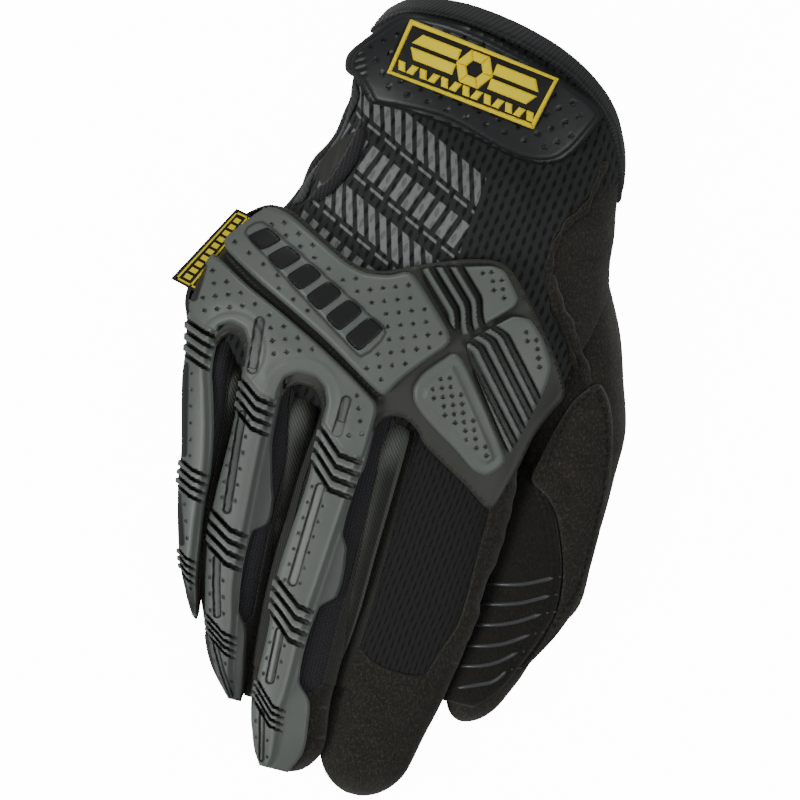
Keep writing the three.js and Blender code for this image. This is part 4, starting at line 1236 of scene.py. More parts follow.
CUFF = Curve(
    [-44, -36, -30, -24, -12, 0, 12, 24, 34, 41, 45.5, 48, 56],
    [97, 106, 113, 117, 118.6, 117.8, 115.5, 111.5, 105.5, 98.5, 90, 83, 80],
)
CUFF_BEND = 62.0  # the cloth's rows run level up to here, then bend towards the cuff's edge
CUFF_ROW = 117.5  # the last row, before it is bent
CUFF_GUESS = 105.0  # where the search for the edge starts, its rounds, and how far each one goes
CUFF_ROUNDS = 40
CUFF_SHARE = 0.35


def steps(start: float, stop: float, size: float) -> Array:
    """Even places from start to stop, about that far apart."""
    return np.linspace(start, stop, max(int(abs(stop - start) / size) + 1, 2))


def tip_places(tube: Tube, start: float, size: float = 1.0) -> Array:
    """Places from start to a tube's closed end, closer together where it rounds off.

    Args:
        tube: the tube.
        start: the first place.
        size: distance between places on the straight stretch.

    Returns:
        The places, down to the tip.
    """
    turn = np.linspace(0, math.radians(88.5), 16)[1:]
    bend = tube.tip + tube.round_length * (1 - np.sin(turn))
    return np.concatenate([steps(start, tube.tip + tube.round_length, size), bend])


def cuff_place(angle: Array) -> Array:
    """Y of the cuff's edge at each angle round the hand, found by stepping towards it.

    Args:
        angle: angles round the hand.

    Returns:
        Y of the edge at each angle.
    """
    y = np.full(np.shape(angle), CUFF_GUESS)
    for _ in range(CUFF_ROUNDS):
        y = y + CUFF_SHARE * (CUFF(HAND.point(y, angle)[..., 0]) - y)
    return y


def to_cuff(y: Array, angle: Array, short: float = 1.2) -> Array:
    """Bends a panel's rows so that the last one ends just short of the cuff's edge."""
    share = np.maximum(y - CUFF_BEND, 0.0) / (CUFF_ROW - CUFF_BEND)
    return np.where(y > CUFF_BEND, CUFF_BEND + share * (cuff_place(angle) - short - CUFF_BEND), y)


def stitches(
    x: Array, y: Array, line: Sequence[Point], pitch: float = 2.0, width: float = 0.3
) -> Array:
    """A row of stitches along an open line: 1 on a thread and 0 beside it.

    The place along the line, in pitches, gives the threads, which take the first two thirds.

    Args:
        x: places across.
        y: places along.
        line: the line's points.
        pitch: from one stitch to the next.
        width: half the width of a thread.

    Returns:
        The mask.
    """
    near = nearest(x, y, line)
    beat = np.abs(np.mod(near.run, pitch) / pitch - 0.5)
    return (1 - ease(width * 0.6, width * 1.5, near.gap)) * (1 - ease(0.28, 0.38, beat))


def welt(
    name: str,
    path: Sequence[Point],
    radius: float,
    base: float,
    rise: float,
    ground: Lift = height,
    wave: float = 0.0,
) -> bpy.types.Object:
    """A rounded strip that follows a line over the glove: piping or the edge of a fold.

    Across the line it is half an ellipse, and it thins out over its first and last stretch.

    Args:
        name: the piece's name.
        path: points of the line in plan.
        radius: half its width.
        base: its foot's distance from the cloth.
        rise: how far its middle stands above its foot.
        ground: the height it lies on, from x and y.
        wave: how far its sides wander, in millimetres.

    Returns:
        The object.
    """
    line = chaikin_open(path)
    gaps = np.hypot(*np.diff(line, axis=0).T)
    run = np.concatenate([[0], np.cumsum(gaps)])
    count = max(int(run[-1] / 0.6), 8)
    place = np.linspace(0, run[-1], count)
    px = np.interp(place, run, line[:, 0])
    py = np.interp(place, run, line[:, 1])
    tx = np.gradient(px)
    ty = np.gradient(py)
    size = np.maximum(np.hypot(tx, ty), 1e-9)
    across = np.linspace(-1, 1, 13)[None, :]
    thin = np.sqrt(np.clip(np.minimum(place, run[-1] - place) / (2.5 * radius), 0.02, 1))[:, None]
    wide = radius * thin + wave * (np.sin(place * 0.9) + np.sin(place * 0.37 + 1))[:, None] * thin
    x = px[:, None] + (-ty / size)[:, None] * across * wide
    y = py[:, None] + (tx / size)[:, None] * across * wide
    arch = np.sqrt(1 - across**2 * 0.999)
    bottom = ground(px, py)[:, None] + base
    level = np.maximum(ground(x, y) + base, bottom - 1.5 * radius)
    outer = pack(x, y, level + rise * thin * arch)
    inner = pack(x, y, level - 0.4)
    # Painted shade along both sides, and a painted highlight along the crest in the edge value.
    shade = 0.55 * (1 - ease(0.0, 0.5, arch)) + 0 * place[:, None]
    uv = pack(x, y)
    return slab(name, outer, inner, uv, shade, {"edge": 0.5 * arch + 0 * x})


def chaikin_open(path: Sequence[Point], rounds: int = 3) -> Array:
    """Rounds an open line, whose ends stay.

    Args:
        path: the line's points.
        rounds: how often its corners are cut.

    Returns:
        The rounded line.
    """
    line = np.array(path, float)
    for _ in range(rounds):
        a = line[:-1] * 0.75 + line[1:] * 0.25
        b = line[:-1] * 0.25 + line[1:] * 0.75
        middle = np.stack([a, b], axis=1).reshape(-1, 2)
        line = np.concatenate([line[:1], middle, line[-1:]])
    return line


# Sides of the panels of a finger, in degrees round its tube from the thumb side
BACK_SIDES = (46.7, 133.3)
PALM_SIDES = (-55.0, 235.0)
# X of the knit's edge on the thumb side, at each Y
KNIT_EDGE = Curve(
    [130, 105, 90, 83, 63, 51, 40, 31, 20, 10, 0, -20],
    [40, 43, 44.5, 43, 34, 32, 36, 43, 47, 44.5, 41.5, 41],
)
# Strips between the fingers: the name, Y with X of both sides, Y with Z of the top, and the node
WEBS = (
    (
        "twill_web_little",
        ((4, -55), (-8, -54), (-20, -52.5), (-40, -49.5), (-60, -47.5), (-82, -39.5)),
        ((4, -46.5), (-8, -45.5), (-20, -45), (-40, -45.5), (-60, -40), (-82, -34)),
        ((4, 21), (-6, 27.5), (-20, 25.5), (-40, 22), (-60, 18), (-82, 11)),
        "fourchette_ring_little",
    ),
    (
        "twill_web_ring",
        ((0, -34), (-10, -33), (-22, -31.5), (-40, -29.5), (-60, -29.5), (-97, -24)),
        ((0, -23), (-10, -23), (-22, -22.5), (-40, -23), (-60, -24), (-97, -17)),
        ((0, 22), (-10, 30.5), (-22, 29), (-40, 25.5), (-60, 20), (-97, 11)),
        "fourchette_middle_ring",
    ),
    (
        "twill_web_index",
        ((-2, -4.5), (-10, -4.2), (-24, -3.8), (-45, -3.2), (-66, -2.6), (-86, -2.2)),
        ((-2, 5.2), (-10, 5.4), (-24, 5.0), (-45, 4.2), (-66, 3.6), (-86, 2.0)),
        ((-2, 22), (-10, 31), (-24, 29.5), (-45, 26), (-66, 21.5), (-86, 13)),
        "fourchette_index_middle",
    ),
)


@dataclass
class Shell:
    """The cloth of the glove: knit back, suede palm, fingers, thumb and the twill between them.

    A step is the distance from one row of points to the next, and columns are points across.
    """

    dresser: Dresser
    hand_step: float = 1.05
    hand_columns: int = 130
    palm_columns: int = 90
    hand_end: float = 10.0  # the rows lie closer past this, where the hand's end is round
    finger_step: float = 0.9
    back_columns: int = 44
    front_columns: int = 52
    thumb_columns: int = 84
    wall_step: float = 1.0
    wall_columns: int = 26
    wall_lift: float = 0.35
    wall_past: float = 3.4  # how far the twill goes on under the suede that closes over it
    web_columns: int = 25
    web_deep: float = 11.0
    cap_lap: float = 5.0  # how far the tip's suede laps over the knit
    cap_bow: float = 4.5
    cap_side: float = 0.04  # radians by which it laps over the front's edges
    close_run: float = 3.0  # stretch over which the front closes past the twill
    binding_rows: int = 22
    binding_columns: int = 361
    fold_start: float = 0.55  # share of the binding's width that lies outside
    fold_span: float = 0.2
    thread: float = 0.28  # where its stitches run, as a share of that part

    def hand(self) -> None:
        """Knit back and suede palm of the hand, on one tube, joined along the knit's edge."""

        def seam(y: Array) -> Array:
            """Angle of the knit's edge on the thumb side.

            Args:
                y: places along.

            Returns:
                The angle at each place.
            """
            cut = HAND.section(y)
            share = np.clip((KNIT_EDGE(y) - cut.middle) / cut.half, 0.05, 0.995)
            return HAND.angle_at(share)

        def seam_round(y: Array) -> Array:
            """The knit's edge again, a turn further on."""
            return seam(y) + 2 * math.pi

        even = steps(CUFF_ROW, self.hand_end, self.hand_step)
        ys = np.concatenate([even, tip_places(HAND, self.hand_end - 0.5)])
        for name, sides, columns, folds, finish, node in (
            ("hand_knit", (seam, math.pi), self.hand_columns, self.knit_folds, Finish.HAND_KNIT,
             "back_of_hand"),
            ("palm_suede", (math.pi, seam_round), self.palm_columns, self.palm_folds, Finish.SUEDE,
             "palm"),
        ):
            piece = patch(name, HAND, ys, *sides, columns, folds, bend=to_cuff)
            self.dresser.wear(piece, finish, node)

    def binding(self) -> None:
        """Stretch binding folded over the cuff's edge: outside, round the edge, and inside.

        The band's width is measured square to the edge, so it takes more of Y where the edge
        runs steeply.
        """
        angle = np.linspace(-math.pi, math.pi, self.binding_columns)[None, :]
        end = cuff_place(angle)
        x = HAND.point(end, angle)[..., 0]
        slope = CUFF(x + 0.5) - CUFF(x - 0.5)
        reach = BINDING_WIDTH * np.clip(np.sqrt(1 + slope**2), 1.0, 2.2)
        turn = np.linspace(0, 1, self.binding_rows)[:, None]
        back = np.clip(turn / self.fold_start, 0, 1) + 0 * angle
        fold = np.clip((turn - self.fold_start) / self.fold_span, 0, 1) * math.pi
        inside = np.clip((turn - self.fold_start - self.fold_span) / 0.25, 0, 1)
        y = end - reach * (1 - back) + 0.6 * np.sin(fold) - reach * 0.8 * inside
        off = back - self.thread
        puff = 0.55 + 0.75 * dome(back * 5.2, 1.3) - 0.35 * np.exp(-((off / 0.07) ** 2))
        round_edge = 1.3 * np.cos(fold) * 0.5 + 0.65 - (WALL + 1.0) * (1 - np.cos(fold)) / 2
        out = np.where(turn < self.fold_start, puff, round_edge)
        outer = HAND.point(y, angle + 0 * y, -out)
        inner = HAND.point(y, angle + 0 * y, 0.9 - 0.4 * np.minimum(fold, 1.0))
        outer[..., 2] = np.maximum(outer[..., 2], 0.0)
        inner[..., 2] = np.maximum(inner[..., 2], 0.2)
        beat = np.abs(np.mod(angle * 36, 2 * math.pi) / math.pi - 1)
        thread = np.exp(-((off / 0.05) ** 2)) * (0.35 + 0.65 * (beat > 0.3))
        # Dark stitches on the thread line, and painted shade on the part inside the cuff.
        shade = np.clip(thread * 0.8 + 0.6 * inside, 0, 1)
        uv = pack(angle * 36 + 0 * y, y)
        band = slab("cuff_band", outer, inner, uv, shade, {"edge": 0 * shade}, 60)
        self.dresser.wear(band, Finish.BINDING, "cuff_binding")

    def knit_folds(self, y: Array, angle: Array) -> Array:
        """Soft pulls in the knit below the strap: waves along the hand that fade downwards.

        Args:
            y: places along.
            angle: angles round the tube.

        Returns:
            Distance out from the hand's tube.
        """
        below = ease(45, 62, y) * (1 - ease(80, 90, y))
        wave = np.sin(angle * 9 + y * 0.12) * 0.45 + np.sin(angle * 17 - y * 0.21) * 0.25
        return wave * below * ease(0.6, 1.2, angle) - 0.3 * (1 - ease(0, 0.12, math.pi - angle))

    def palm_folds(self, y: Array, angle: Array) -> Array:
        """Broad folds in the suede, strongest on the thumb side of the wrist.

        Args:
            y: places along.
            angle: angles round the tube.

        Returns:
            Distance out from the hand's tube.
        """
        side = np.cos(angle)
        wave = np.sin(y * 0.21 + 2.2 * np.sin(angle * 2)) * 0.3 + np.sin(y * 0.43 + angle * 3) * 0.12
        return wave * ease(0.2, 0.95, np.abs(side)) * ease(12, 30, y)

    def finger(
        self,
        name: str,
        tube: Tube,
        start: float,
        wall_end: float,
        back: tuple[float, float],
        knit_end: float,
        nodes: tuple[str, str],
    ) -> None:
        """Back and front of one finger.

        The front's suede closes over the tip, where the knit ends in an arc.

        Args:
            name: the finger's name.
            tube: its tube.
            start: where its panels start, inside the hand.
            wall_end: Y at which the twill beside it ends and the suede reaches up.
            back: degrees of the back panel's two sides.
            knit_end: Y at which the knit ends.
            nodes: the packed back and front.
        """
        ys = tip_places(tube, start, self.finger_step)
        right, left = (math.radians(a) for a in back)
        low_right, low_left = (math.radians(a) for a in PALM_SIDES)

        def rising(low: float, high: float) -> Side:
            """A side that rises to the back panel past the end of the twill."""
            return lambda y: low + (high - low) * ease(0.0, self.close_run, wall_end - y)

        rows = steps(start, knit_end, self.finger_step)
        upper = patch(f"{name}_back_knit", tube, rows, right, left, self.back_columns)
        self.dresser.wear(upper, Finish.KNIT if tube is INDEX else Finish.RIBBED, nodes[0])
        closed = (right if tube is INDEX else low_right) + 2 * math.pi
        lower = patch(
            f"{name}_front_suede",
            tube,
            ys,
            rising(low_left if left < math.pi else math.pi, left),
            rising(closed, right + 2 * math.pi),
            self.front_columns,
            lambda y, a: 0.12 * np.sin(y * 0.35 + a * 2) * ease(0.2, 0.9, np.abs(np.cos(a))),
        )
        self.dresser.wear(lower, Finish.SUEDE, nodes[1])
        cap_start = knit_end + self.cap_lap
        middle = (right + left) / 2

        def arc(y: Array, angle: Array) -> Array:
            """Bows the cap's first rows down in the middle, and leaves its last ones.

            Args:
                y: places along.
                angle: angles round the tube.

            Returns:
                The places, bent.
            """
            share = (angle - middle) / (left - middle)
            first = 1 - ease(0.0, 14.0, cap_start - y)
            return y - self.cap_bow * (1 - share**2) * first

        cap = patch(
            f"{name}_tip_suede",
            tube,
            ys[ys < cap_start],
            right - self.cap_side,
            left + self.cap_side,
            self.back_columns,
            lambda y, a: 0.45 * ease(-0.2, 0.7, cap_start - y) * (1 - ease(-8, 0, tube.tip - y)),
            bend=arc,
        )
        self.dresser.wear(cap, Finish.SUEDE)

    def walls(
        self, name: str, left: Tube, right: Tube, web: float, end: tuple[float, float], node: str
    ) -> None:
        """The twill between two fingers: a wall on each, joined to one piece.

        Args:
            name: the piece's name.
            left: the finger on the outer side.
            right: the finger on the thumb side.
            web: Y at which the walls start.
            end: Y of each finger's suede tip.
            node: the packed node that it replaces.
        """
        palm_right, palm_left = PALM_SIDES
        back_right, back_left = BACK_SIDES
        sides = []
        for tube, first, last, stop in (
            (left, palm_right, back_right, end[0]),
            (right, back_left, palm_left, end[1]),
        ):
            rows = steps(web, stop - self.wall_past, self.wall_step)
            turns = (math.radians(first), math.radians(last))
            part = f"{name}_{len(sides)}"
            sides.append(patch(part, tube, rows, *turns, self.wall_columns, self.wall_lift))
        self.dresser.wear(join(name, sides), Finish.TWILL, node)

    def build(self) -> None:
        """Makes all the cloth."""
        self.hand()
        index_back = (40.0, BACK_SIDES[1])
        little_back = (BACK_SIDES[0], 180.0)
        for name, tube, start, wall_end, sides, knit_end, nodes in (
            ("index", INDEX, 12, -70, index_back, -79.0, ("index_back", "index_wrap")),
            ("middle", MIDDLE, 12, -84, BACK_SIDES, -92.0, ("middle_back", "middle_front")),
            ("ring", RING, 12, -80, BACK_SIDES, -77.0, ("ring_back", "ring_front")),
            ("little", LITTLE, 10, -62, little_back, -62.0, ("little_back", "little_front")),
        ):
            self.finger(name, tube, start, wall_end, sides, knit_end, nodes)
        for pair, left, right, web, ends in (
            ("ring_little", LITTLE, RING, 6, (-63, -66)),
            ("middle_ring", RING, MIDDLE, 4, (-80, -84)),
            ("index_middle", MIDDLE, INDEX, 4, (-84, -84)),
        ):
            self.walls(f"twill_{pair}", left, right, web, ends, f"fourchette_{pair}")
        self.webs()
        thumb = patch(
            "thumb_suede",
            THUMB,
            tip_places(THUMB, 58, self.finger_step),
            math.radians(-90),
            math.radians(270),
            self.thumb_columns,
            lambda y, a: 0.2 * np.sin(y * 0.23 + 1.7 * np.sin(a)) * ease(-0.2, 0.8, np.cos(a)),
        )
        self.dresser.wear(thumb, Finish.SUEDE, "thumb_shell")
        self.binding()

    def webs(self) -> None:
        """Puffed twill strips that lie in the gaps between the fingers and close them.

        Each runs between two lines down the gap, and its top is an arch that starts under the
        knuckle guard and sinks between the fingers.
        """
        for name, left, right, tops, node in WEBS:
            start = left[0][0]
            ys = steps(start, left[-1][0], self.finger_step)[:, None]
            low, high, top = (Curve.through(side)(ys) for side in (left, right, tops))
            share = np.linspace(-1, 1, self.web_columns)[None, :]
            arch = np.sqrt(1 - share**2 * 0.9995)
            middle = (low + high) / 2
            half = (high - low) / 2
            fade = np.sqrt(np.clip((start - ys + 0.3) / 7.0, 0.05, 1.0))
            x = middle + half * share * fade
            z = top - self.web_deep * 0.5 * (1 - arch)
            y = ys + 0 * share
            outer = pack(x, y, z)
            inner = pack(middle + half * share * 0.7, y, np.maximum(z - self.web_deep, 0.3))
            # Painted shade in a cleft down the middle and right of each web, past its top stretch.
            # Painted shade on both sides; the lighter twill stands for light on the rest.
            painted_cleft_shade = ease(-0.8, 0.3, share) * (1 - ease(0.7, 0.84, share))
            shade = painted_cleft_shade * ease(10, 22, start - y)
            shade = np.maximum(shade, 0.3 * (1 - ease(0.25, 0.8, arch)))
            piece = slab(name, outer, inner, pack(x, y), shade)
            self.dresser.wear(piece, Finish.LIT_WEB, node)


def join(name: str, pieces: Sequence[bpy.types.Object]) -> bpy.types.Object:
    """Joins pieces into one object with a new name.

    Args:
        name: the joined object's name.
        pieces: the objects.

    Returns:
        The object.
    """
    with bpy.context.temp_override(
        active_object=pieces[0], selected_editable_objects=list(pieces)
    ):
        bpy.ops.object.join()
    pieces[0].name = name
    pieces[0].data.name = name
    return pieces[0]


SHEET_TOP = SHEET_GAP + SHEET_THICK
PLATE_FOOT = SHEET_TOP + 0.3
PLATE_TOP = PLATE_FOOT + PLATE_THICK
DARK = 0.86  # shade of a deep groove


@dataclass(frozen=True)
class Slot:
    """A long rounded recess: the line down its middle and its half width.

    Its rim is dark, and side tells which half of its floor is dark too: 1 for the thumb side and
    0 for none. A tone above 0 is how pale the floor is, and one below 0 is how dark.
    """

    line: tuple[Point, ...]
    half: float = 1.25
    side: float = 0.0
    tone: float = 0.0

    def middle(self, y: Array) -> Array:
        """X of the line at each place along."""
        across, along = np.array(self.line).T
        return np.interp(-y, -along, across)

    def cut(self, x: Array, y: Array) -> tuple[Array, Array, Array]:
        """Depth, shade and paleness, each from 0 to 1, at each place.

        Args:
            x: places across.
            y: places along.

        Returns:
            Depth, shade and paleness.
        """
        distance = nearest(x, y, self.line).gap
        inside = 1 - ease(self.half - 0.2, self.half + 0.2, distance)
        # Painted shade on the rim and on the floor's dark half
        rim = 1 - ease(0.1, 0.45, np.abs(distance - self.half + 0.1))
        beside = ease(-0.1, 0.4, (x - self.middle(y)) * self.side) if self.side else 0.0 * x
        dark = np.maximum(rim * 0.9, inside * np.maximum(beside, -min(self.tone, 0.0)))
        pale = inside * max(self.tone, 0.0) * (1 - beside) * (1 - rim)
        return inside, np.clip(dark, 0, 1), pale


@dataclass(frozen=True)
class GuardForm:
    """Lines and patterns of the moulded guard on one finger, in millimetres.

    left, right and flange hold (y, x) of the plate's two sides and of the thin sheet's far side.
    crease holds (y, x) of the line on which the chevrons turn. Each group of chevrons is its
    first Y, its pitch and how many ribs it has, and drop is how far they fall to the crease.
    """

    left: tuple[Point, ...]
    right: tuple[Point, ...]
    flange: tuple[Point, ...]
    crease: tuple[Point, ...]
    chevrons: tuple[tuple[float, float, int], ...]
    slots: tuple[Slot, ...]
    start: float
    end: float
    drop: float


MIDDLE_GUARD = GuardForm(
    left=((-11, -21), (-30, -20.8), (-45, -22), (-60, -23), (-66, -22.8), (-75, -21.6),
          (-90, -21.3), (-100, -20.6), (-106, -19.2), (-112, -17.0), (-116, -14.5)),
    right=((-11, -6.1), (-30, -6.6), (-45, -7.8), (-60, -9), (-66, -9.6), (-75, -10),
           (-93, -10.2), (-99, -10.8), (-105, -10.2), (-112, -9.6), (-116, -10.2)),
    flange=((-11, -5.2), (-22, -5.3), (-25.5, -6.2), (-42, -7.0), (-47, -4.6), (-61, -4.0),
            (-66, -8.4), (-88, -9.0), (-93.5, -4.6), (-100, -3.2), (-109, -2.6), (-116, -5.5)),
    crease=((-11, -13.5), (-60, -14.5), (-93, -15.0), (-116, -13.5)),
    chevrons=((-12.9, 3.6, 3), (-59.5, 3.5, 3), (-90.6, 2.0, 3)),
    slots=(
        Slot(((-16.7, -31), (-17.9, -60)), 1.35, 0.0, 0.8),
        Slot(((-18.0, -75.5), (-17.4, -90)), 1.3, 0.6, 0.7),
        Slot(((-17.4, -100), (-14.2, -114)), 0.75, 1.0, 0.6),
    ),
    start=-10.6,
    end=-116.2,
    drop=6.6,
)
RING_GUARD = GuardForm(
    left=((1, -48), (-8, -47), (-20, -46.4), (-44, -46.6), (-52, -46.2), (-58, -45), (-66, -43.4),
          (-75, -41.2), (-83, -38.2), (-90, -34.8), (-96, -31), (-99.5, -27.8)),
    right=((1, -35.6), (-14, -35.5), (-30, -35), (-45, -34.3), (-57, -33.8), (-66, -33),
           (-75, -31), (-82, -29.8), (-90, -28.4), (-96, -26.6), (-99.5, -25.6)),
    flange=((1, -34.6), (-14, -34.3), (-22, -33.6), (-34, -30.5), (-38, -29.2), (-45, -29),
            (-49, -33.2), (-72, -31.6), (-77, -28.2), (-84, -26.4), (-94, -24.4), (-99.5, -24.2)),
    crease=((1, -41.5), (-44, -40), (-60, -38.5), (-80, -34.5), (-99, -27)),
    chevrons=((-4.9, 3.0, 3), (-44.6, 3.4, 3), (-75.2, 2.0, 3)),
    slots=(
        Slot(((-44.4, -15.5), (-43.3, -30), (-42.0, -44)), 1.15, 0.7, -0.5),
        Slot(((-41.4, -59), (-39.9, -66), (-37.4, -75.0)), 1.1, 0.8, -0.4),
        Slot(((-35.8, -84), (-32.0, -91), (-27.4, -98)), 0.7, 1.0, 0.3),
    ),
    start=-1.6,
    end=-99.0,
    drop=4.4,
)
LITTLE_GUARD = GuardForm(
    left=((10, -68), (0, -66), (-8, -65), (-16, -63.2), (-24, -61.2), (-32, -59.4), (-40, -58.4),
          (-48, -56.6), (-56, -54.4), (-64, -51.8), (-72, -47.8), (-78, -44.5)),
    right=((10, -57.4), (-4, -57.2), (-12, -55), (-22, -52.3), (-34, -50), (-44, -49.4),
           (-56, -48.0), (-66, -46.6), (-72, -45.0), (-78, -43.2)),
    flange=((10, -56.8), (-4, -56.4), (-12, -54.2), (-22, -51.5), (-34, -49.4), (-44, -48.8),
            (-56, -47.2), (-66, -45.8), (-72, -44.2), (-78, -42.8)),
    crease=((10, -62.5), (-33, -55.2), (-60, -51), (-78, -44.5)),
    chevrons=((8.4, 3.3, 3), (-32.4, 2.6, 3), (-58.4, 2.1, 3)),
    slots=(
        Slot(((-64.4, -5.5), (-58.6, -31)), 0.95, 0.0, -1.0),
        Slot(((-57.2, -43.5), (-52.8, -57)), 0.75, 0.0, -1.0),
        Slot(((-50.9, -66), (-45.0, -76)), 0.6, 0.0, -0.8),
    ),
    start=10.4,
    end=-77.5,
    drop=2.2,
)


@dataclass
class FingerGuard:
    """Moulded rubber guard down the back of one finger."""

    dresser: Dresser
    form: GuardForm
    tube: Tube
    name: str
    node: str
    # share of painted shade laid over the whole guard
    painted_shade_share: float = 0.0
    step: float = 0.35
    pit_pitch: float = 4.8
    low: float = SHEET_GAP + 0.15  # lift of the thin sheet's rim

    def lines(self, y: Array) -> tuple[Array, Array, Array, Array]:
        """X of the left side, crease, right side and flange at each place.

        Args:
            y: places along.

        Returns:
            X of the four lines.
        """
        form = self.form
        sides = (form.left, form.crease, form.right, form.flange)
        return tuple(Curve.through(side)(y) for side in sides)

    def teeth(self, phase: Array, count: int) -> tuple[Array, Array, Array]:
        """Height of a group of chevrons, where the group is, and the pale lip of each rib.

        A groove comes first and then its rib, and one more groove ends the group.

        Args:
            phase: ribs gone since the start of the group.
            count: how many ribs it has.

        Returns:
            Height, extent and lip, each from 0 to 1.
        """
        inside = ease(-0.06, 0.0, phase) * (1 - ease(count + 0.32, count + 0.42, phase))
        part = phase - np.floor(phase)
        tooth = ease(0.27, 0.42, part) * (1 - ease(0.93, 1.0, part))
        lip = inside * (1 - ease(0.05, 0.15, np.abs(part - 0.86)))
        return tooth, inside, lip

    def relief(self, x: Array, y: Array) -> tuple[Array, Array, Array]:
        """Lift, shade and edge of the moulding.

        Chevrons are steps along a line that drops towards the crease and stays nearly level
        past it. A plate is domed at its sides, and its slots and pits are cut into it.

        Args:
            x: places across.
            y: places along.

        Returns:
            Lift in millimetres, shade from 0 to 1, and how much of a pale edge there is.
        """
        form = self.form
        left, crease, right, flange = self.lines(y)
        turn = np.clip((x - left) / (crease - left), 0, 1)
        past = np.clip((x - crease) / (right - crease), 0, 1)
        level = y + form.drop * turn + 0.9 * past
        side = dome(x - left, 1.4) * ease(0.0, 2.6, right - x)
        rise = side
        shade = 0.42 * ease(-0.2, 0.8, x - right) * (1 - 0.75 * ease(-70, -100, y))
        # Painted highlights along the plate's left side and its right shoulder.
        edge = (1 - ease(0.5, 1.6, x - left)) * 0.5 + (1 - ease(0.2, 0.9, np.abs(right - 2.6 - x))) * 0.4
        across = 1 - ease(-0.2, 0.5, x - right)
        for top, pitch, count in form.chevrons:
            tooth, inside, lip = self.teeth((top - level) / pitch, count)
            # Painted shade in the chevrons' grooves, and a painted highlight on each rib's lip.
            cut = inside * (1 - tooth) * across
            rise = rise * (1 - 0.85 * cut)
            shade = np.maximum(shade, DARK * np.clip(cut * 1.2, 0, 1))
            edge = np.maximum(edge, lip * across * 0.8)
        for slot in form.slots:
            depth, rim, pale = slot.cut(x, y)
            # Painted shade on the slots' rims and in the pits beside them.
            rise = rise - 0.36 * depth
            shade = np.maximum(shade, rim * DARK)
            edge = np.maximum(edge, pale)
            gap = np.abs(np.abs(x - slot.middle(y)) - 2.15 * (0.6 + 0.35 * slot.half))
            beat = np.abs(np.mod(y, self.pit_pitch) - self.pit_pitch / 2)
            along = (y < slot.line[0][1] + 1) & (y > slot.line[-1][1] - 1)
            pit = (1 - ease(0.2, 0.5, gap)) * (1 - ease(0.25, 0.55, beat)) * along
            rise = rise - 0.2 * pit
            shade = np.maximum(shade, pit * 0.62)
        ends = ease(0.0, 1.4, y - form.end)
        lift = SHEET_TOP * ease(-0.1, 0.5, ends) + PLATE_THICK * np.clip(rise, 0, 1) * ends
        return np.maximum(lift, self.low), shade, edge * (1 - shade)

    def build(self) -> None:
        """Makes the guard as a grid between its left side and its flange."""
        y = steps(self.form.start, self.form.end, self.step)[:, None]
        side, _, _, flange = self.lines(y)
        left = side
        for top, pitch, count in self.form.chevrons:
            tooth, inside, _ = self.teeth((top - y) / pitch, count)
            left = left - 0.75 * inside * tooth
        columns = int((flange - left).max() / self.step)
        share = np.linspace(0, 1, columns)[None, :]
        x = left + (flange - left) * share
        y = y + 0 * share
        lift, shade, edge = self.relief(x, y)
        # Painted shade laid over the whole guard.
        shade = self.painted_shade_share + (1 - self.painted_shade_share) * shade
        rim = ease(0.0, 0.8, flange - x) * ease(0.0, 0.7, x - left)
        lift = self.low + (lift - self.low) * (0.35 + 0.65 * rim)
        shown = np.maximum(x, side)
        outer = pack(x, y, height(shown, y, lift))
        inner = pack(x, y, height(shown, y, SHEET_GAP))
        inner[..., 2] = np.minimum(inner[..., 2], outer[..., 2] - 0.1)
        piece = slab(self.name, outer, inner, pack(x, y), shade, {"edge": edge}, 35)
        self.dresser.wear(piece, Finish.RUBBER, self.node)


BASE_LINE = chaikin(
    [(-52.5, 47.8), (-45, 47.2), (-40, 44.8), (-32, 40.3), (-25, 36.6), (-20, 35.2), (-14, 35.7),
     (-8, 38.5), (0, 42), (9, 45.4), (17.5, 47.2), (22, 46), (27, 41.6), (35, 32), (43, 22),
     (48, 13.5), (45, 8), (41.3, 0), (39.8, -8), (38.2, -15), (34.7, -26.8), (26, -20.5),
     (17, -15.3), (9.5, -10.8), (7.5, -7.6), (3.5, -5.0), (0, -4.8), (-3.4, -6.2), (-5.2, -9.5),
     (-5.3, -12.6), (-21.4, -12.6), (-21.6, -8), (-23.4, -4.6), (-26.3, -2.5), (-30.5, -2.6),
     (-33.6, -5), (-34.6, -9), (-34.8, -1.4), (-47.6, -1.0), (-48.5, 3.4), (-50.6, 6.4),
     (-53.6, 7.2), (-56, 4.6), (-57, 0.4), (-57.4, 3.0), (-65.5, 3.0), (-68, 9), (-69.8, 13),
     (-69.8, 20), (-68, 28), (-65, 34), (-60, 41.5)],
    0.22,
)
UPPER_LINE = chaikin(
    [(-52.5, 47), (-45.5, 46), (-36, 41), (-25, 35.4), (-19, 34), (-12, 35), (-6, 38.2),
     (3, 29.6), (11.6, 20.8), (4, 12.5), (-1.5, 5.5), (-4.8, -0.6), (-12, 3.4), (-25, 11.6),
     (-38, 18.4), (-50, 24.4), (-61.5, 31), (-63.6, 34.8), (-59.5, 41)],
    0.18,
)
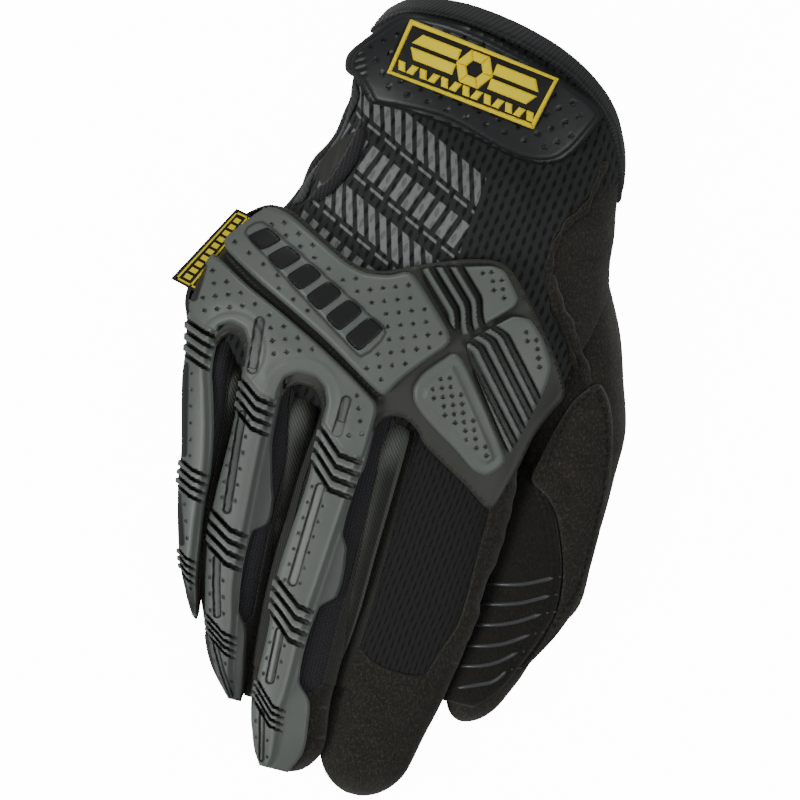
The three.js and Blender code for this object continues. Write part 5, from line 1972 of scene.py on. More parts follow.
LOWER_LINE = chaikin(
    [(-65.5, 29.6), (-61, 27.2), (-52, 22.0), (-40, 16.6), (-28, 10.6), (-16, 3.8), (-7.2, -1.8),
     (-5.8, -4.5), (-6.1, -19.6), (-9.5, -19.9), (-13.6, -18.9), (-17.2, -15.8), (-21.0, -12.3),
     (-20.9, -6), (-22.8, -1.5), (-26, 0.6), (-31, 0.6), (-34.6, -1.6), (-35.5, -5.2),
     (-35.5, -9.2), (-38.5, -9.2), (-41.5, -8.5), (-44.2, -6.4), (-47.2, -4.3), (-47.5, 5),
     (-50.0, 9.4), (-54, 10.4), (-57.4, 8.4), (-57.6, 6.2), (-62.4, 6.6), (-66.9, 8.9),
     (-68.6, 13.4), (-68.6, 20)],
    0.12,
)
COLLARS = ((-52.3, 2, 10.2), (-28.2, -8, 12.2))  # middle and radius, round the finger webs
PLATE_SLOTS = (
    Slot(((-66.6, 24), (-67.0, 15)), 1.3, 0.0, -1.0),
    Slot(((-45.9, 12.4), (-44.7, -1.5)), 1.45, 0.3, -0.45),
    Slot(((-15.4, -4), (-15.7, -13.6)), 1.35, 0.0, -0.1),
)
CHANNEL = ((-60, 29.0), (-52, 23.7), (-40, 17.7), (-28, 11.7), (-15, 4.4), (-6, -1.2))
NAME_PANEL = chaikin([(-57, 37.5), (-53, 41.5), (-8.5, 18.5), (-14, 9.5)], 0.06)
BAR_LOW = np.array([(-56.6, 36.6), (-14.2, 9.9)])
BAR_HIGH = np.array([(-52.4, 41.4), (-9.4, 19.2)])
UPPER_PAD = chaikin(
    [(-4.6, 39.4), (6, 42.0), (17, 45.3), (21, 44.6), (26.9, 37.6), (26.3, 35.0), (19, 27.8),
     (12.6, 21.8)],
    0.14,
)
OUTER_PAD = chaikin(
    [(14.2, 20.6), (20.6, 26.8), (26.6, 32.4), (31.8, 32.6), (37, 27.6), (41.4, 20.6),
     (41.2, 14), (38.6, 3), (35.8, -7.6), (34.6, -6.5), (26, 4.6)],
    0.14,
)
LOWER_PAD = chaikin(
    [(13.2, 18.9), (8.4, 14.0), (4.6, 9.6), (2.8, 4.8), (3.8, 0.6), (8, -3.2), (14, -7),
     (20, -10.6), (26, -15.2), (30.6, -15.8), (34.2, -12.4), (35.2, -9), (25, 4.2)],
    0.2,
)


@dataclass
class KnuckleGuard:
    """Armour over the knuckles: a thin sheet, two big plates and three pads."""

    dresser: Dresser
    step: float = 0.38
    sheet_step: float = 0.65
    pit_pitch: float = 5.4
    pad_pitch: float = 3.8
    pit_size: float = 1.0
    pit_turn: float = -0.42
    pad_foot: float = PLATE_FOOT + 0.3
    pad_grooves: int = 4
    bar_step: float = 0.4
    bar_count: int = 6
    pad_channel: tuple[Point, ...] = ((10, 19.5), (20, 28.6), (29, 34.5))

    def sheet(self, x: Array, y: Array, depth: Array) -> tuple[Array, Array]:
        """The sheet's lift: a rolled rim round it, and a low rail down the channel.

        Args:
            x: places across.
            y: places along.
            depth: distance in from the outline.

        Returns:
            Lift and shade.
        """
        off = nearest(x, y, CHANNEL).gap
        rim = np.exp(-(((depth - 0.9) / 0.55) ** 2)) * 0.35
        rail = np.exp(-((off / 0.45) ** 2)) * 0.7
        # Painted shade in the channel between the plates, less on the rail.
        painted_crevice_shade = 1 - ease(1.0, 2.4, off)
        lift = SHEET_GAP + 0.2 + (SHEET_THICK - 0.2) * dome(depth, 0.7) + rim + rail
        return lift, np.clip(painted_crevice_shade * 0.75 - rail * 0.6, 0, 1)

    def pitted(
        self, x: Array, y: Array, lift: Array, shade: Union[float, Array], pitch: float, where: Lift
    ) -> tuple[Array, Array]:
        """Sinks pits into a plate.

        Args:
            x: places across.
            y: places along.
            lift: the plate's lift without them.
            shade: its shade without them.
            pitch: distance from one pit to the next.
            where: tells from the middle of each pit whether it is there.

        Returns:
            Lift and shade with the pits.
        """
        pit = pits(x, y, pitch, self.pit_size, self.pit_turn, where)
        return lift - 0.6 * pit, np.maximum(shade, pit * 0.82)

    def upper(self, x: Array, y: Array, depth: Array) -> tuple[Array, Array]:
        """The upper plate: domed edge, a soft swell at its outer end, a stepped panel and pits.

        Args:
            x: places across.
            y: places along.
            depth: distance in from the outline.

        Returns:
            Lift and shade.
        """
        panel = depth_in(x, y, NAME_PANEL)
        step = ease(-0.35, 0.35, panel)
        groove = np.exp(-(((panel + 0.5) / 0.35) ** 2))
        lift = PLATE_FOOT + PLATE_THICK * dome(depth, 1.7) + 0.45 * step - 0.25 * groove
        lift = lift + 0.5 * ease(2, 9, depth)

        def clear(a: Array, b: Array) -> Array:
            """Whether a pit has room: off the edge and the panel."""
            return (depth_in(a, b, UPPER_LINE) > 2.4) & (depth_in(a, b, NAME_PANEL) < -1.4)

        # Painted shade in the groove round the panel, and in the pits.
        return self.pitted(x, y, lift, groove * 0.75, self.pit_pitch, clear)

    def lower(self, x: Array, y: Array, depth: Array) -> tuple[Array, Array]:
        """The lower plate: smooth collars round the finger webs, pits, and a slot on each root.

        Args:
            x: places across.
            y: places along.
            depth: distance in from the outline.

        Returns:
            Lift and shade.
        """
        lift = PLATE_FOOT + PLATE_THICK * dome(depth, 1.5) + 0.4 * ease(2, 7, depth)

        def collar(a: Array, b: Array) -> Array:
            """How far a place lies outside the nearer collar.

            Args:
                a: places across.
                b: places along.

            Returns:
                Millimetres outside it, minus inside.
            """
            outside = [np.hypot(a - x0, (b - y0) * 0.9) - size for x0, y0, size in COLLARS]
            return np.minimum(*outside)

        lift = lift + 0.35 * (1 - ease(-0.4, 0.4, collar(x, y)))
        shade = np.zeros_like(x)
        for slot in PLATE_SLOTS:
            inside, rim, _ = slot.cut(x, y)
            lift = lift - 1.0 * inside
            # Painted shade on the slots' rims
            shade = np.maximum(shade, rim * DARK)

        def clear(a: Array, b: Array) -> Array:
            """Whether a pit has room: off the edge, the collars and the slots.

            Args:
                a: places across.
                b: places along.

            Returns:
                Whether there is room.
            """
            room = (depth_in(a, b, LOWER_LINE) > 2.2) & (collar(a, b) > 0.9)
            for slot in PLATE_SLOTS:
                room &= nearest(a, b, slot.line).gap > slot.half + 1.0
            return room

        return self.pitted(x, y, lift, shade, self.pit_pitch, clear)

    def ribbed(
        self,
        x: Array,
        y: Array,
        depth: Array,
        way: Lift,
        bow: tuple[float, float],
        first: float,
        pitch: float,
        field: Lift,
    ) -> tuple[Array, Array]:
        """A pad with ribs and a pitted head.

        The ribs stand across a way, which is bowed near the channel so that they turn there.
        Past the last groove the pad stays high, and that is its head.

        Args:
            x: places across.
            y: places along.
            depth: distance in from the pad's outline.
            way: millimetres along the ribs' row, from the places.
            bow: how far the ribs turn, and how wide the stretch beside the channel is.
            first: where on the way the first groove starts.
            pitch: distance from one rib to the next.
            field: whether a pit is there, from its middle.

        Returns:
            Lift and shade at each place.
        """
        size, reach = bow
        toward = nearest(x, y, self.pad_channel).gap
        phase = (way(x, y) + size * (1 - ease(0, reach, toward)) - first) / pitch
        part = phase - np.floor(phase)
        rib = ease(0.38, 0.62, part) * (1 - ease(0.93, 1.0, part))
        rib = np.where(phase >= self.pad_grooves - 0.3, 1.0, rib)
        rise = (PLATE_TOP - self.pad_foot) * rib * dome(depth + 0.3, 1.3)
        # Painted shade in the grooves between the ribs
        shade = DARK * (1 - ease(0.0, 0.75, rib))
        return self.pitted(x, y, self.pad_foot + rise, shade, self.pad_pitch, field)

    def upper_pad(self, x: Array, y: Array, depth: Array) -> tuple[Array, Array]:
        """Pad above the index knuckle, whose ribs slant down to the thumb side.

        Args:
            x: places across.
            y: places along.
            depth: distance in from the outline.

        Returns:
            Lift and shade.
        """

        def way(a: Array, b: Array) -> Array:
            """Across the ribs: the sum of both places."""
            return a + b

        def field(a: Array, b: Array) -> Array:
            """Whether a pit is in the head."""
            return (depth_in(a, b, UPPER_PAD) > 1.7) & (way(a, b) > 56.6)

        return self.ribbed(x, y, depth, way, (4.6, 9), 33.6, 5.2, field)

    def outer_pad(self, x: Array, y: Array, depth: Array) -> tuple[Array, Array]:
        """Pad on the thumb side of the knuckle, the same with its ribs turned a little.

        Args:
            x: places across.
            y: places along.
            depth: distance in from the outline.

        Returns:
            Lift and shade.
        """

        def way(a: Array, b: Array) -> Array:
            """Across the ribs: the sum with the first place a little heavier, scaled to 1."""
            return (a * 1.156 + b) / 1.53

        def field(a: Array, b: Array) -> Array:
            """Whether a pit is in the head."""
            return (depth_in(a, b, OUTER_PAD) > 1.6) & (way(a, b) > 41.0)

        return self.ribbed(x, y, depth, way, (2.6, 6), 23.6, 4.0, field)

    def lower_pad(self, x: Array, y: Array, depth: Array) -> tuple[Array, Array]:
        """Pad below the knuckle: a low shoulder and a raised pitted field inside it.

        Args:
            x: places across.
            y: places along.
            depth: distance in from the outline.

        Returns:
            Lift and shade.
        """
        lift = PLATE_FOOT + PLATE_THICK * 0.62 * dome(depth, 1.4) + 1.0 * ease(3.0, 4.2, depth)

        def field(a: Array, b: Array) -> Array:
            """Whether a pit is in the raised field."""
            return depth_in(a, b, LOWER_PAD) > 4.4

        return self.pitted(x, y, lift, 0.0, self.pad_pitch, field)

    def bars(self) -> None:
        """Plain slanted bars on the stepped panel, which bear no letters."""
        low_start, low_end = BAR_LOW
        high_start, high_end = BAR_HIGH
        slant = 0.16 / self.bar_count
        pieces = []
        for i in range(self.bar_count):
            a = (i + 0.06) / self.bar_count
            b = (i + 0.86) / self.bar_count
            corners = [
                low_start + (low_end - low_start) * a,
                low_start + (low_end - low_start) * b,
                high_start + (high_end - high_start) * (b + slant),
                high_start + (high_end - high_start) * (a + slant),
            ]
            line = chaikin(corners, 0.12)
            pieces.append(
                draped(
                    f"name_bar_{i}",
                    line,
                    self.bar_step,
                    PLATE_TOP + 0.4,
                    lambda x, y, d: (PLATE_TOP + 0.5 + 1.1 * dome(d, 0.8), 0 * x),
                )
            )
        self.dresser.wear(join("name_bars", pieces), Finish.PLAQUE, "name_panel")

    def build(self) -> None:
        """Makes the sheet, plates, pads and bars."""
        for name, line, foot, top, finish, node in (
            ("guard_sheet", BASE_LINE, SHEET_GAP, self.sheet, Finish.SHEET, "guard_base"),
            ("plate_upper", UPPER_LINE, SHEET_TOP, self.upper, Finish.RUBBER, "knuckle_plate_upper"),
            ("plate_lower", LOWER_LINE, SHEET_TOP, self.lower, Finish.RUBBER, "knuckle_plate_lower"),
            ("pad_upper", UPPER_PAD, SHEET_TOP, self.upper_pad, Finish.RUBBER, "index_pad_upper"),
            ("pad_outer", OUTER_PAD, SHEET_TOP, self.outer_pad, Finish.RUBBER, "index_pad_outer"),
            ("pad_lower", LOWER_PAD, SHEET_TOP, self.lower_pad, Finish.RUBBER, "index_pad_lower"),
        ):
            step = self.sheet_step if finish is Finish.SHEET else self.step
            piece = draped(name, line, step, foot, top)
            self.dresser.wear(piece, finish, node)
        self.bars()


STRAP_LINE = chaikin(
    [(-40, 91.5), (-40.6, 96), (-38.5, 99.6), (-35, 103.4), (-31, 108.4), (-27, 112.2),
     (-20, 113.2), (-10, 113.2), (0, 111.6), (15, 107.6), (28, 103), (36, 99.8), (39, 97),
     (36.4, 91), (33, 84.2), (29, 79.6), (24, 77.8), (19, 77.3), (12, 78.4), (3, 80.6),
     (-6, 82.3), (-16, 83.5), (-26, 83.6), (-30.6, 83.4), (-33.4, 87), (-36, 89.8)],
    0.2,
)
LIP_LINE = chaikin(
    [(-36, 101), (-27, 110), (0, 109), (26, 101.5), (36, 97), (31, 86), (22, 80.5), (0, 84.5),
     (-27, 87), (-36, 93)],
    0.2,
    1,
)
LABEL_CORNERS = np.array([(-25.0, 111.4), (23.4, 104.2), (19.6, 86.4), (-28.0, 92.8)])
LABEL_MIDDLE = LABEL_CORNERS.mean(axis=0)
LABEL_HALF = np.array([24.2, 9.1])
LABEL_TURN = math.radians(-7.6)


@dataclass
class WristStrap:
    """Closure strap: a band, its moulded cover with pits and a lip, and the label on it."""

    dresser: Dresser
    foot: float = SHEET_GAP
    band_step: float = 0.7
    cover: float = 4.2
    cover_step: float = 0.46
    cover_inset: float = 2.0
    label_step: float = 0.8
    mark_step: float = 0.36
    pit_pitch: float = 6.2
    pit_size: float = 1.05
    pit_turn: float = -0.13
    line_inset: float = 0.7
    line_width: float = 1.2
    nut_radius: float = 5.9
    nut_hole: float = 0.44  # share of the nut
    block_count: int = 13
    block_pitch: float = 3.4

    def band(self, x: Array, y: Array, depth: Array) -> tuple[Array, Array]:
        """The band and its rolled lip."""
        return self.foot + 0.4 + 2.6 * dome(depth, 1.3), 0.2 * (1 - ease(0.8, 1.8, depth))

    def top(self, x: Array, y: Array, depth: Array) -> tuple[Array, Array]:
        """The cover: a groove inside the lip, pits, and short ribs at its outer end.

        Args:
            x: places across.
            y: places along.
            depth: distance in from the outline.

        Returns:
            Lift and shade.
        """
        lift = self.cover + 1.1 * dome(depth, 1.6)
        end = 1 - ease(-35.5, -34.0, x + 0.35 * (y - 96))
        ribs = np.cos((y - 0.5 * x) * 2 * math.pi / 2.3) * 0.5 + 0.5
        lift = lift - 0.5 * end * ribs * ease(0.5, 1.5, depth)

        def clear(a: Array, b: Array) -> Array:
            """Whether a pit lies inside the lip."""
            return depth_in(a, b, LIP_LINE) > 0.4

        pit = pits(x, y, self.pit_pitch, self.pit_size, self.pit_turn, clear) * (1 - end)
        # Painted shade in the pits and in the grooves between the ribs.
        return lift - 0.55 * pit, np.maximum(pit * 0.95, end * ribs * 0.45)

    def inset(self, distance: float) -> Array:
        """The label's corners, moved in towards its middle by that distance on each side."""
        return LABEL_MIDDLE + (LABEL_CORNERS - LABEL_MIDDLE) * (1 - distance / LABEL_HALF)

    def build(self) -> None:
        """Makes the strap and the label."""
        band = draped("strap_band", STRAP_LINE, self.band_step, self.foot, self.band)
        self.dresser.wear(band, Finish.STRAP, "wrist_strap")
        middle = STRAP_LINE.mean(axis=0)
        way = STRAP_LINE - middle
        shrink = 1 - self.cover_inset / np.maximum(np.hypot(way[:, 0], way[:, 1]), 8.0)
        inner = middle + way * shrink[:, None]
        cover = draped("strap_cover", inner, self.cover_step, self.foot + 2.0, self.top)
        self.dresser.wear(cover, Finish.STRAP, "strap_guard")
        plaque = draped(
            "label_plaque",
            chaikin(self.inset(0.0), 0.05),
            self.label_step,
            self.cover + 0.9,
            lambda x, y, d: (self.cover + 1.2 + 0.9 * dome(d, 0.8), 0 * x),
        )
        self.dresser.wear(plaque, Finish.PLAQUE, "strap_label")
        self.border()
        self.emblem()

    def raised(self, name: str, line: Array) -> bpy.types.Object:
        """A yellow shape that stands on the plaque.

        Args:
            name: the shape's name.
            line: its outline.

        Returns:
            The object.
        """
        return draped(
            name,
            line,
            self.mark_step,
            self.cover + 2.0,
            lambda x, y, d: (self.cover + 2.2 + 0.7 * dome(d, 0.5), 0 * x),
        )

    def border(self) -> None:
        """Yellow line round the label: four bars that meet at its corners."""
        one = self.inset(self.line_inset)
        two = self.inset(self.line_inset + self.line_width)
        bars = [
            self.raised(f"border_{i}", np.array([one[i], one[i - 3], two[i - 3], two[i]]))
            for i in range(4)
        ]
        self.dresser.wear(join("label_line", bars), Finish.YELLOW, "label_border")

    def emblem(self) -> None:
        """A plain nut between two pairs of bars, over a row of leaning blocks."""
        across = np.array([math.cos(LABEL_TURN), math.sin(LABEL_TURN)])
        up = np.array([-math.sin(LABEL_TURN), math.cos(LABEL_TURN)])
        lift = np.array([0.0, 1.7])
        corner = np.arange(6) * math.pi / 3
        ring = self.nut_radius * pack(np.cos(corner), np.sin(corner))
        hole = ring * self.nut_hole
        shapes = [
            np.array([ring[i], ring[i - 5], hole[i - 5], hole[i]]) + lift for i in range(6)
        ]
        for side in (-1, 1):
            for level in (-1, 1):
                flat = np.array([(5.6, -1.7), (20.2, -1.7), (18.0, 1.7), (5.6, 1.7)])
                flat = flat * np.array([side, level]) + np.array([0, 2.3 * level]) + lift
                shapes.append(flat[::-1] if side * level < 0 else flat)
        for i in range(self.block_count):
            x = self.block_pitch * (i - (self.block_count - 1) / 2)
            lean = 0.5 if i % 2 else -0.5
            low = np.array([(x - 1.1 - lean, -6.6), (x + 1.1 - lean, -6.6)])
            high = np.array([(x + 1.1 + lean, -3.8), (x - 1.1 + lean, -3.8)])
            shapes.append(np.concatenate([low, high]))
        pieces = [
            self.raised(f"mark_{i}", LABEL_MIDDLE + flat[:, :1] * across + flat[:, 1:] * up)
            for i, flat in enumerate(shapes)
        ]
        self.dresser.wear(join("label_nut", pieces), Finish.YELLOW, "label_emblem")


SLIT_LENS = chaikin(
    [(-31.4, 75.6), (-33.4, 69), (-34.4, 63.4), (-36, 59), (-37.8, 56.2), (-39.6, 58.5),
     (-40.8, 62.6), (-37.6, 69.5)],
    0.15,
)
SLIT_FOLD = chaikin(
    [(-30.6, 78), (-28.4, 74), (-29.4, 66), (-31.6, 60), (-35.6, 53), (-41.4, 50.4), (-39.4, 55),
     (-36.6, 58.4), (-34.6, 65), (-33, 71)],
    0.2,
)
TAG_CORNERS = ((-61.2, 43.7), (-75.2, 18.6), (-60.6, 14.9), (-50.4, 41.4))
TAG_FRAME = (
    (0.03, 0.97, 0.07, 0.11),
    (0.03, 0.97, 0.38, 0.42),
    (0.03, 0.05, 0.07, 0.90),
    (0.95, 0.97, 0.07, 0.90),
    (0.30, 0.72, 0.50, 0.92),
)
GRIP_SEAM = Curve(
    [-84, -77, -68, -59.5, -51, -42.6, -36, -28.7, -22, -18, -12.5, -8],
    [43.5, 50.0, 54.2, 57.6, 60.0, 59.8, 58.6, 56.0, 53.0, 50.8, 45.6, 41.0],
)
FLAP_LINE = chaikin(
    [(56.2, 20.2), (50.3, 12.8), (48, 6.4), (46.1, -0.9), (45.0, -6.5), (43.0, -14), (49.5, -17.2),
     (53.4, -21.5), (56.6, -28.5), (59.2, -36), (60.6, -43), (60.8, -51), (58.6, -59.5),
     (55.2, -68), (53.5, -72), (57.4, -66), (62.6, -57), (66.4, -47), (67.4, -36), (67.6, -20),
     (66.6, -6), (64.2, 6), (61.0, 14.5)],
    0.2,
)
WRIST_SEAM = ((42.5, 84), (41, 75), (40, 68), (35, 63), (32.6, 51), (36, 40), (43, 31), (49.5, 20))
WRIST_FOLD = ((33.5, 47.5), (38, 40), (44, 32), (50, 24), (53.6, 17))
OUTER_PIPE = ((-35.6, 88), (-34.8, 84), (-36, 79), (-36.6, 73), (-38.6, 68), (-41.6, 63.5),
              (-42.6, 58), (-42.6, 52), (-45, 49))
INNER_PIPE = ((-31.2, 79), (-32.0, 73), (-33.6, 66), (-35.4, 59.6), (-38.2, 55.2))
RIDGES = (
    ((37.5, -47), (48, -45), (54.5, -41.8), (57.5, -40.2)),
    ((36.6, -53.5), (48, -51), (55, -47.2), (57.8, -45.6)),
    ((36.0, -60), (47, -57.6), (56.6, -51.6)),
    ((35.4, -66.6), (46, -64.4), (54.8, -58.4)),
    ((35.0, -73), (45, -70.8), (52.6, -64.4)),
    ((37.0, -79.4), (43, -77), (47.6, -75), (50.6, -70.5)),
)
FOLD_NEAR = Curve([-12, -26, -41, -54, -62, -70, -82], [32.4, 33.6, 33.4, 33.4, 32.4, 29.5, 26.0])
FOLD_FAR = Curve(
    [-12, -20, -30, -38, -45, -50, -56, -62, -70, -76, -82],
    [39.2, 40.2, 40.3, 40.0, 38.7, 37.8, 38.4, 37.9, 35.6, 34.0, 32.6],
)
FLAP_STITCH = ((56, 17), (60.6, 10), (63.6, 0), (65.2, -12), (65.6, -28), (65, -42), (61, -54))
FLAP_INNER_STITCH = ((55, 16.4), (50.4, 9.5), (48.3, 0), (47, -7))


@dataclass
class Thumb:
    """What is sewn on between index finger and thumb, and on the thumb."""

    dresser: Dresser
    thick: float = 1.4
    grip_step: float = 0.65
    grip_columns: int = 54
    flap_step: float = 0.55
    flap_blend: float = 14.0
    fold_step: float = 0.5
    fold_columns: int = 26
    grip_rows: tuple[float, ...] = (1.9, 3.7)  # how far its rows of stitches lie in from the seam
    grip_stitch: tuple[float, float] = (2.2, 0.32)  # pitch and half width, as in the next
    flap_stitch: tuple[float, float] = (2.4, 0.35)

    def inner_edge(self, y: Array) -> Array:
        """X at which the thumb's inner side goes under the index finger."""
        cut = INDEX.section(y)
        return cut.middle + cut.half - 2.0

    def face(self, x: Array, y: Array) -> Array:
        """Height of the thumb's inner side: a quarter ellipse from under the index finger.

        Args:
            x: places across.
            y: places along.

        Returns:
            The height at each place.
        """
        cut = THUMB.section(y)
        left = self.inner_edge(y)
        crest = cut.middle + 0.2 * cut.half
        top = THUMB.top(crest, y)
        low = np.minimum(cut.waist - 1.0, top - 2)
        share = np.clip((crest - x) / np.maximum(crest - left, 1.0), 0, 1)
        side = low + (top - low) * np.sqrt(np.clip(1 - share**2.4, 0, 1))
        return np.where(x < crest, side, np.maximum(THUMB.top(x, y), low))

    def grip(self) -> None:
        """Inner panel of the thumb with two rows of stitches, and its moulded ridges."""
        y = steps(-10.0, -84.0, self.grip_step)[:, None]
        left = self.inner_edge(y)
        right = np.maximum(GRIP_SEAM(y), left + 2.0)
        share = np.linspace(0, 1, self.grip_columns)[None, :]
        x = left + (right - left) * share
        y = y + 0 * share
        inset = (right - x) / 1.15
        lift = 0.5 + 0.75 * dome(inset, 0.9) * ease(0.0, 1.0, y + 84)
        seam = [(float(GRIP_SEAM(np.array(v))), float(v)) for v in range(-76, -11, 4)]
        rows = np.zeros_like(x)
        for off in self.grip_rows:
            line = [(a - off, b) for a, b in seam]
            rows = np.maximum(rows, stitches(x, y, line, *self.grip_stitch))
        lift = lift - 0.3 * rows
        z = self.face(x, y)
        outer = pack(x, y, z + lift)
        inner = pack(x, y, np.maximum(z - self.thick, 0.4))
        # Painted shade under the index finger and along the seam edge, and dark stitch holes.
        painted_crevice_shade = 0.75 * (1 - ease(0.0, 5.0, x - left)) * ease(-60, -20, y)
        shade = np.maximum(rows * 0.9, painted_crevice_shade) + 0.6 * (1 - ease(0.0, 0.5, inset))
        # The whole panel is then darkened to at least 0.9.
        shade = np.clip(0.9 + 0.1 * shade, 0, 1)
        piece = slab("thumb_grip_suede", outer, inner, pack(x, y), shade)
        self.dresser.wear(piece, Finish.SUEDE, "thumb_grip_patch")
        ridges = []
        for i, path in enumerate(RIDGES):
            ridges.append(welt(f"ridge_{i}", path, 0.7, 0.9, 0.7, self.face))
            for j in (0, 1):
                a = np.array(path[-1]) + np.array([0.7, 0.3]) * (1 + 3 * j)
                dash = [tuple(a), tuple(a + np.array([1.4, 0.5]))]
                ridges.append(welt(f"ridge_end_{i}_{j}", dash, 0.6, 0.9, 0.6, self.face))
        self.dresser.wear(join("thumb_ridges", ridges), Finish.RIDGE)

    def flap(self, x: Array, y: Array, depth: Array) -> tuple[Array, Array]:
        """The outer panel's rounded edge, its row of stitches and a few soft creases.

        Args:
            x: places across.
            y: places along.
            depth: distance in from the outline.

        Returns:
            Lift and shade.
        """
        lines = (FLAP_STITCH, FLAP_INNER_STITCH)
        thread = np.maximum(*(stitches(x, y, line, *self.flap_stitch) for line in lines))
        crease = 0.35 * np.sin(0.55 * (y + 0.6 * x)) * ease(1.0, 6.0, depth) * ease(-45, -5, y)
        lift = 0.5 + 1.15 * dome(depth, 1.3) + crease - 0.35 * thread
        # Dark stitches, and painted shade along the panel's rounded edge.
        return lift, np.clip(thread * 0.85 + 0.4 * (1 - ease(0, 0.5, depth)), 0, 1)

    def fold(self) -> None:
        """Suede on the thumb side of the index finger: a band that rolls over its knit's edge."""
        y = steps(-12.0, -82.0, self.fold_step)[:, None]
        near = FOLD_NEAR(y)
        far = FOLD_FAR(y)
        share = np.linspace(0, 1, self.fold_columns)[None, :]
        x = near + (far - near) * share
        y = y + 0 * share
        high = INDEX.top(near, y[:, :1]) + 0.2
        cut = INDEX.section(y[:, :1])
        low = cut.waist - 1.0
        z = low + (high - low) * np.sqrt(np.clip(1 - share**2.2, 0, 1))
        lift = 0.9 * ease(0.0, 0.14, share) * (1 - 0.3 * share)
        crease = 0.3 * np.sin(y * 0.8 + 3 * share) * ease(0.3, 0.8, share)
        outer = pack(x + crease * 0.6, y, z + lift)
        inner = pack(x - 1.0 * share, y, z - 1.2)
        line = 1 - ease(0.02, 0.05, np.abs(share - 0.24))
        beat = np.abs(np.mod(y, 2.2) / 2.2 - 0.5)
        # Dark stitch dashes, and painted shade where the band rolls under at its far side.
        shade = np.clip(0.7 * line * (1 - ease(0.25, 0.35, beat)) + 0.5 * ease(0.8, 1.0, share), 0, 1)
        piece = slab("index_side_suede", outer, inner, pack(x, y), shade)
        self.dresser.wear(piece, Finish.SUEDE)

    def build(self) -> None:
        """Makes the panels."""
        self.grip()
        self.fold()
        flap = draped("thumb_flap_suede", FLAP_LINE, self.flap_step, 0.1, self.flap, self.flap_blend)
        self.dresser.wear(flap, Finish.SUEDE)
        seams = [
            welt("seam_wrist", WRIST_SEAM, 0.9, 0.1, 0.8, height, 0.25),
            welt("seam_fold", WRIST_FOLD, 1.8, 0.0, 1.1, height, 0.3),
        ]
        self.dresser.wear(join("side_seams", seams), Finish.SUEDE)


@dataclass
class WristSlit:
    """The slit on the outer side of the wrist: a smooth lens, the fold over it and piping."""

    dresser: Dresser
    lens_step: float = 0.4
    fold_step: float = 0.45
    foot: float = 0.2
    pipe: float = 1.3

    def build(self) -> None:
        """Makes the lens, the fold and the piping."""
        lens = draped(
            "slit_lens",
            SLIT_LENS,
            self.lens_step,
            self.foot,
            lambda x, y, d: (0.5 + 0.5 * dome(d, 1.5) + 0.15 * np.sin(x * 2.2), 0.25 + 0 * x),
        )
        self.dresser.wear(lens, Finish.SHEET, "wrist_gusset")
        # Painted shade along the fold's edge, and the rest darkened a little.
        fold = draped(
            "slit_fold",
            SLIT_FOLD,
            self.fold_step,
            self.foot,
            lambda x, y, d: (0.4 + 1.1 * dome(d, 2.4), 0.5 - 0.3 * ease(0, 2, d)),
        )
        self.dresser.wear(fold, Finish.RIBBED)
        pipes = [
            welt("slit_pipe_outer", OUTER_PIPE, self.pipe, 0.2, self.pipe),
            welt("slit_pipe_inner", INNER_PIPE, 0.5, 0.6, 0.7),
        ]
        self.dresser.wear(join("slit_piping", pipes), Finish.BINDING)


@dataclass
class SideTag:
    """Small woven tag in the side seam: black, with yellow frame lines and plain blocks."""

    dresser: Dresser
    level: float = 13.7
    thick: float = 1.1
    rows: int = 30
    columns: int = 16
    block_count: int = 10

    def place(self, u: Union[float, Array], v: Union[float, Array]) -> Array:
        """A place on the tag, from its shares along the outer edge and inwards."""
        a, b, c, d = (np.array(p) for p in TAG_CORNERS)
        return (a + (b - a) * u) * (1 - v) + (d + (c - d) * u) * v

    def flat(self, name: str, box: tuple[float, float, float, float], foot: float) -> bpy.types.Object:
        """A flat block.

        Args:
            name: its name.
            box: from and to along the outer edge, then from and to inwards, as shares.
            foot: height of the cloth under it.

        Returns:
            The object.
        """
        u0, u1, v0, v1 = box
        corners = np.array([[self.place(u, v) for v in (v0, v1)] for u in (u0, u1)])
        top = np.concatenate([corners, np.full((2, 2, 1), foot + 0.14)], axis=2)
        bottom = np.concatenate([corners, np.full((2, 2, 1), foot - 0.1)], axis=2)
        return slab(name, top, bottom, corners)

    def build(self) -> None:
        """Makes the cloth and what is woven on it."""
        u = np.linspace(0, 1, self.rows)[:, None, None]
        v = np.linspace(0, 1, self.columns)[None, :, None]
        flat = self.place(u, v)
        rim = np.minimum(np.minimum(u, 1 - u), np.minimum(v, 1.0))[..., 0]
        bow = self.level + self.thick - 0.25 * (1 - ease(0.0, 0.05, rim))
        top = np.concatenate([flat, bow[..., None]], axis=2)
        bottom = np.concatenate([flat, np.full(flat.shape[:2] + (1,), self.level)], axis=2)
        self.dresser.wear(slab("tag_cloth", top, bottom, flat), Finish.PLAQUE, "side_tag")
        foot = self.level + self.thick
        starts = [0.086 * i for i in range(self.block_count)]
        blocks = [(0.09 + start, 0.145 + start, 0.17, 0.32) for start in starts]
        marks = [
            self.flat(f"tag_mark_{i}", box, foot) for i, box in enumerate([*TAG_FRAME, *blocks])
        ]
        self.dresser.wear(join("tag_marks", marks), Finish.YELLOW)


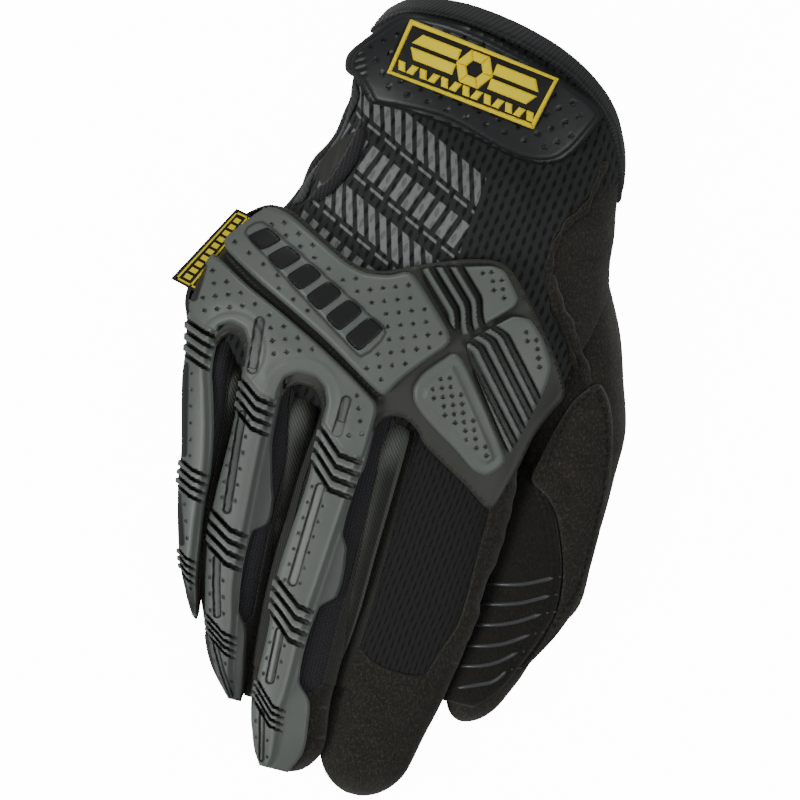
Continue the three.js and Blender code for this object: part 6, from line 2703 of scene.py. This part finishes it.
def studio() -> None:
    """Plain pale floor, soft light mainly from the upper left, and the camera straight above."""
    scene = bpy.context.scene
    middle = np.mean(CAD_BOX, axis=0)
    floor = bpy.data.meshes.new("floor")
    floor.from_pydata(
        [
            (middle[0] + sx * FLOOR_HALF, middle[1] + sy * FLOOR_HALF, FLOOR_LEVEL)
            for sx, sy in ((-1, -1), (1, -1), (1, 1), (-1, 1))
        ],
        [],
        [(0, 1, 2, 3)],
    )
    ground = bpy.data.objects.new("floor", floor)
    scene.collection.objects.link(ground)
    pale = bpy.data.materials.new("floor")
    pale.use_nodes = True
    surface = pale.node_tree.nodes["Principled BSDF"].inputs
    surface["Base Color"].default_value = (0.9, 0.9, 0.9, 1)
    surface["Roughness"].default_value = 0.9
    surface["Emission Color"].default_value = (1, 1, 1, 1)
    surface["Emission Strength"].default_value = FLOOR_GLOW
    floor.materials.append(pale)
    ground.visible_diffuse = False
    ground.visible_glossy = False

    world = bpy.data.worlds.new("studio")
    world.use_nodes = True
    sky = world.node_tree.nodes["Background"].inputs
    sky["Color"].default_value = (1, 1, 1, 1)
    sky["Strength"].default_value = SKY
    scene.world = world

    up = np.array([-math.sin(PHOTO_TURN), math.cos(PHOTO_TURN), 0.0])
    across = np.array([math.cos(PHOTO_TURN), math.sin(PHOTO_TURN), 0.0])
    aim = PLACE.out(np.array([0.0, 0.0, 0.0]))
    for name, right, ahead, rise, side, watts in (
        ("key", -0.85, -0.3, 0.6, 0.4, 7.0),
        ("fill", 0.7, -0.5, 0.8, 0.6, 5.0),
        ("rim", 0.0, 0.95, 0.35, 0.4, 4.0),
    ):
        data = bpy.data.lights.new(name, "AREA")
        data.size = side
        data.energy = watts
        light = bpy.data.objects.new(name, data)
        spot = aim + across * right + up * ahead + np.array([0, 0, rise])
        light.location = spot
        light.rotation_euler = look(spot, aim)
        light.visible_camera = False
        scene.collection.objects.link(light)

    data = bpy.data.cameras.new("camera")
    data.sensor_width = SENSOR
    data.lens = SENSOR * CAMERA_HEIGHT / (PHOTO_PIXELS * PIXEL_SIZE)
    data.clip_end = 100.0
    camera = bpy.data.objects.new("camera", data)
    camera.location = aim + np.array([0, 0, CAMERA_HEIGHT * MM])
    camera.rotation_euler = (0.0, 0.0, PHOTO_TURN)
    scene.collection.objects.link(camera)
    scene.camera = camera


def look(spot: Array, aim: Array) -> tuple[float, float, float]:
    """The turns that point a light's minus Z from a spot to an aim.

    Args:
        spot: where the light is.
        aim: where it points.

    Returns:
        The turns about X, Y and Z.
    """
    way = np.array(aim) - np.array(spot)
    flat = math.hypot(way[0], way[1])
    return (math.atan2(flat, -way[2]), 0.0, math.atan2(way[0], -way[1]) + math.pi)


def main() -> None:
    """Builds the studio and then each sub-assembly."""
    logging.basicConfig(level=logging.INFO, format="%(message)s")
    studio()
    dresser = Dresser()
    Shell(dresser).build()
    KnuckleGuard(dresser).build()
    FingerGuard(dresser, MIDDLE_GUARD, MIDDLE, "guard_middle", "middle_guard").build()
    # The ring and little guards take painted shade over their whole surface.
    FingerGuard(dresser, RING_GUARD, RING, "guard_ring", "ring_guard", 0.26).build()
    FingerGuard(dresser, LITTLE_GUARD, LITTLE, "guard_little", "little_guard", 0.1).build()
    WristStrap(dresser).build()
    Thumb(dresser).build()
    WristSlit(dresser).build()
    SideTag(dresser).build()


if __name__ == "__main__":
    main()
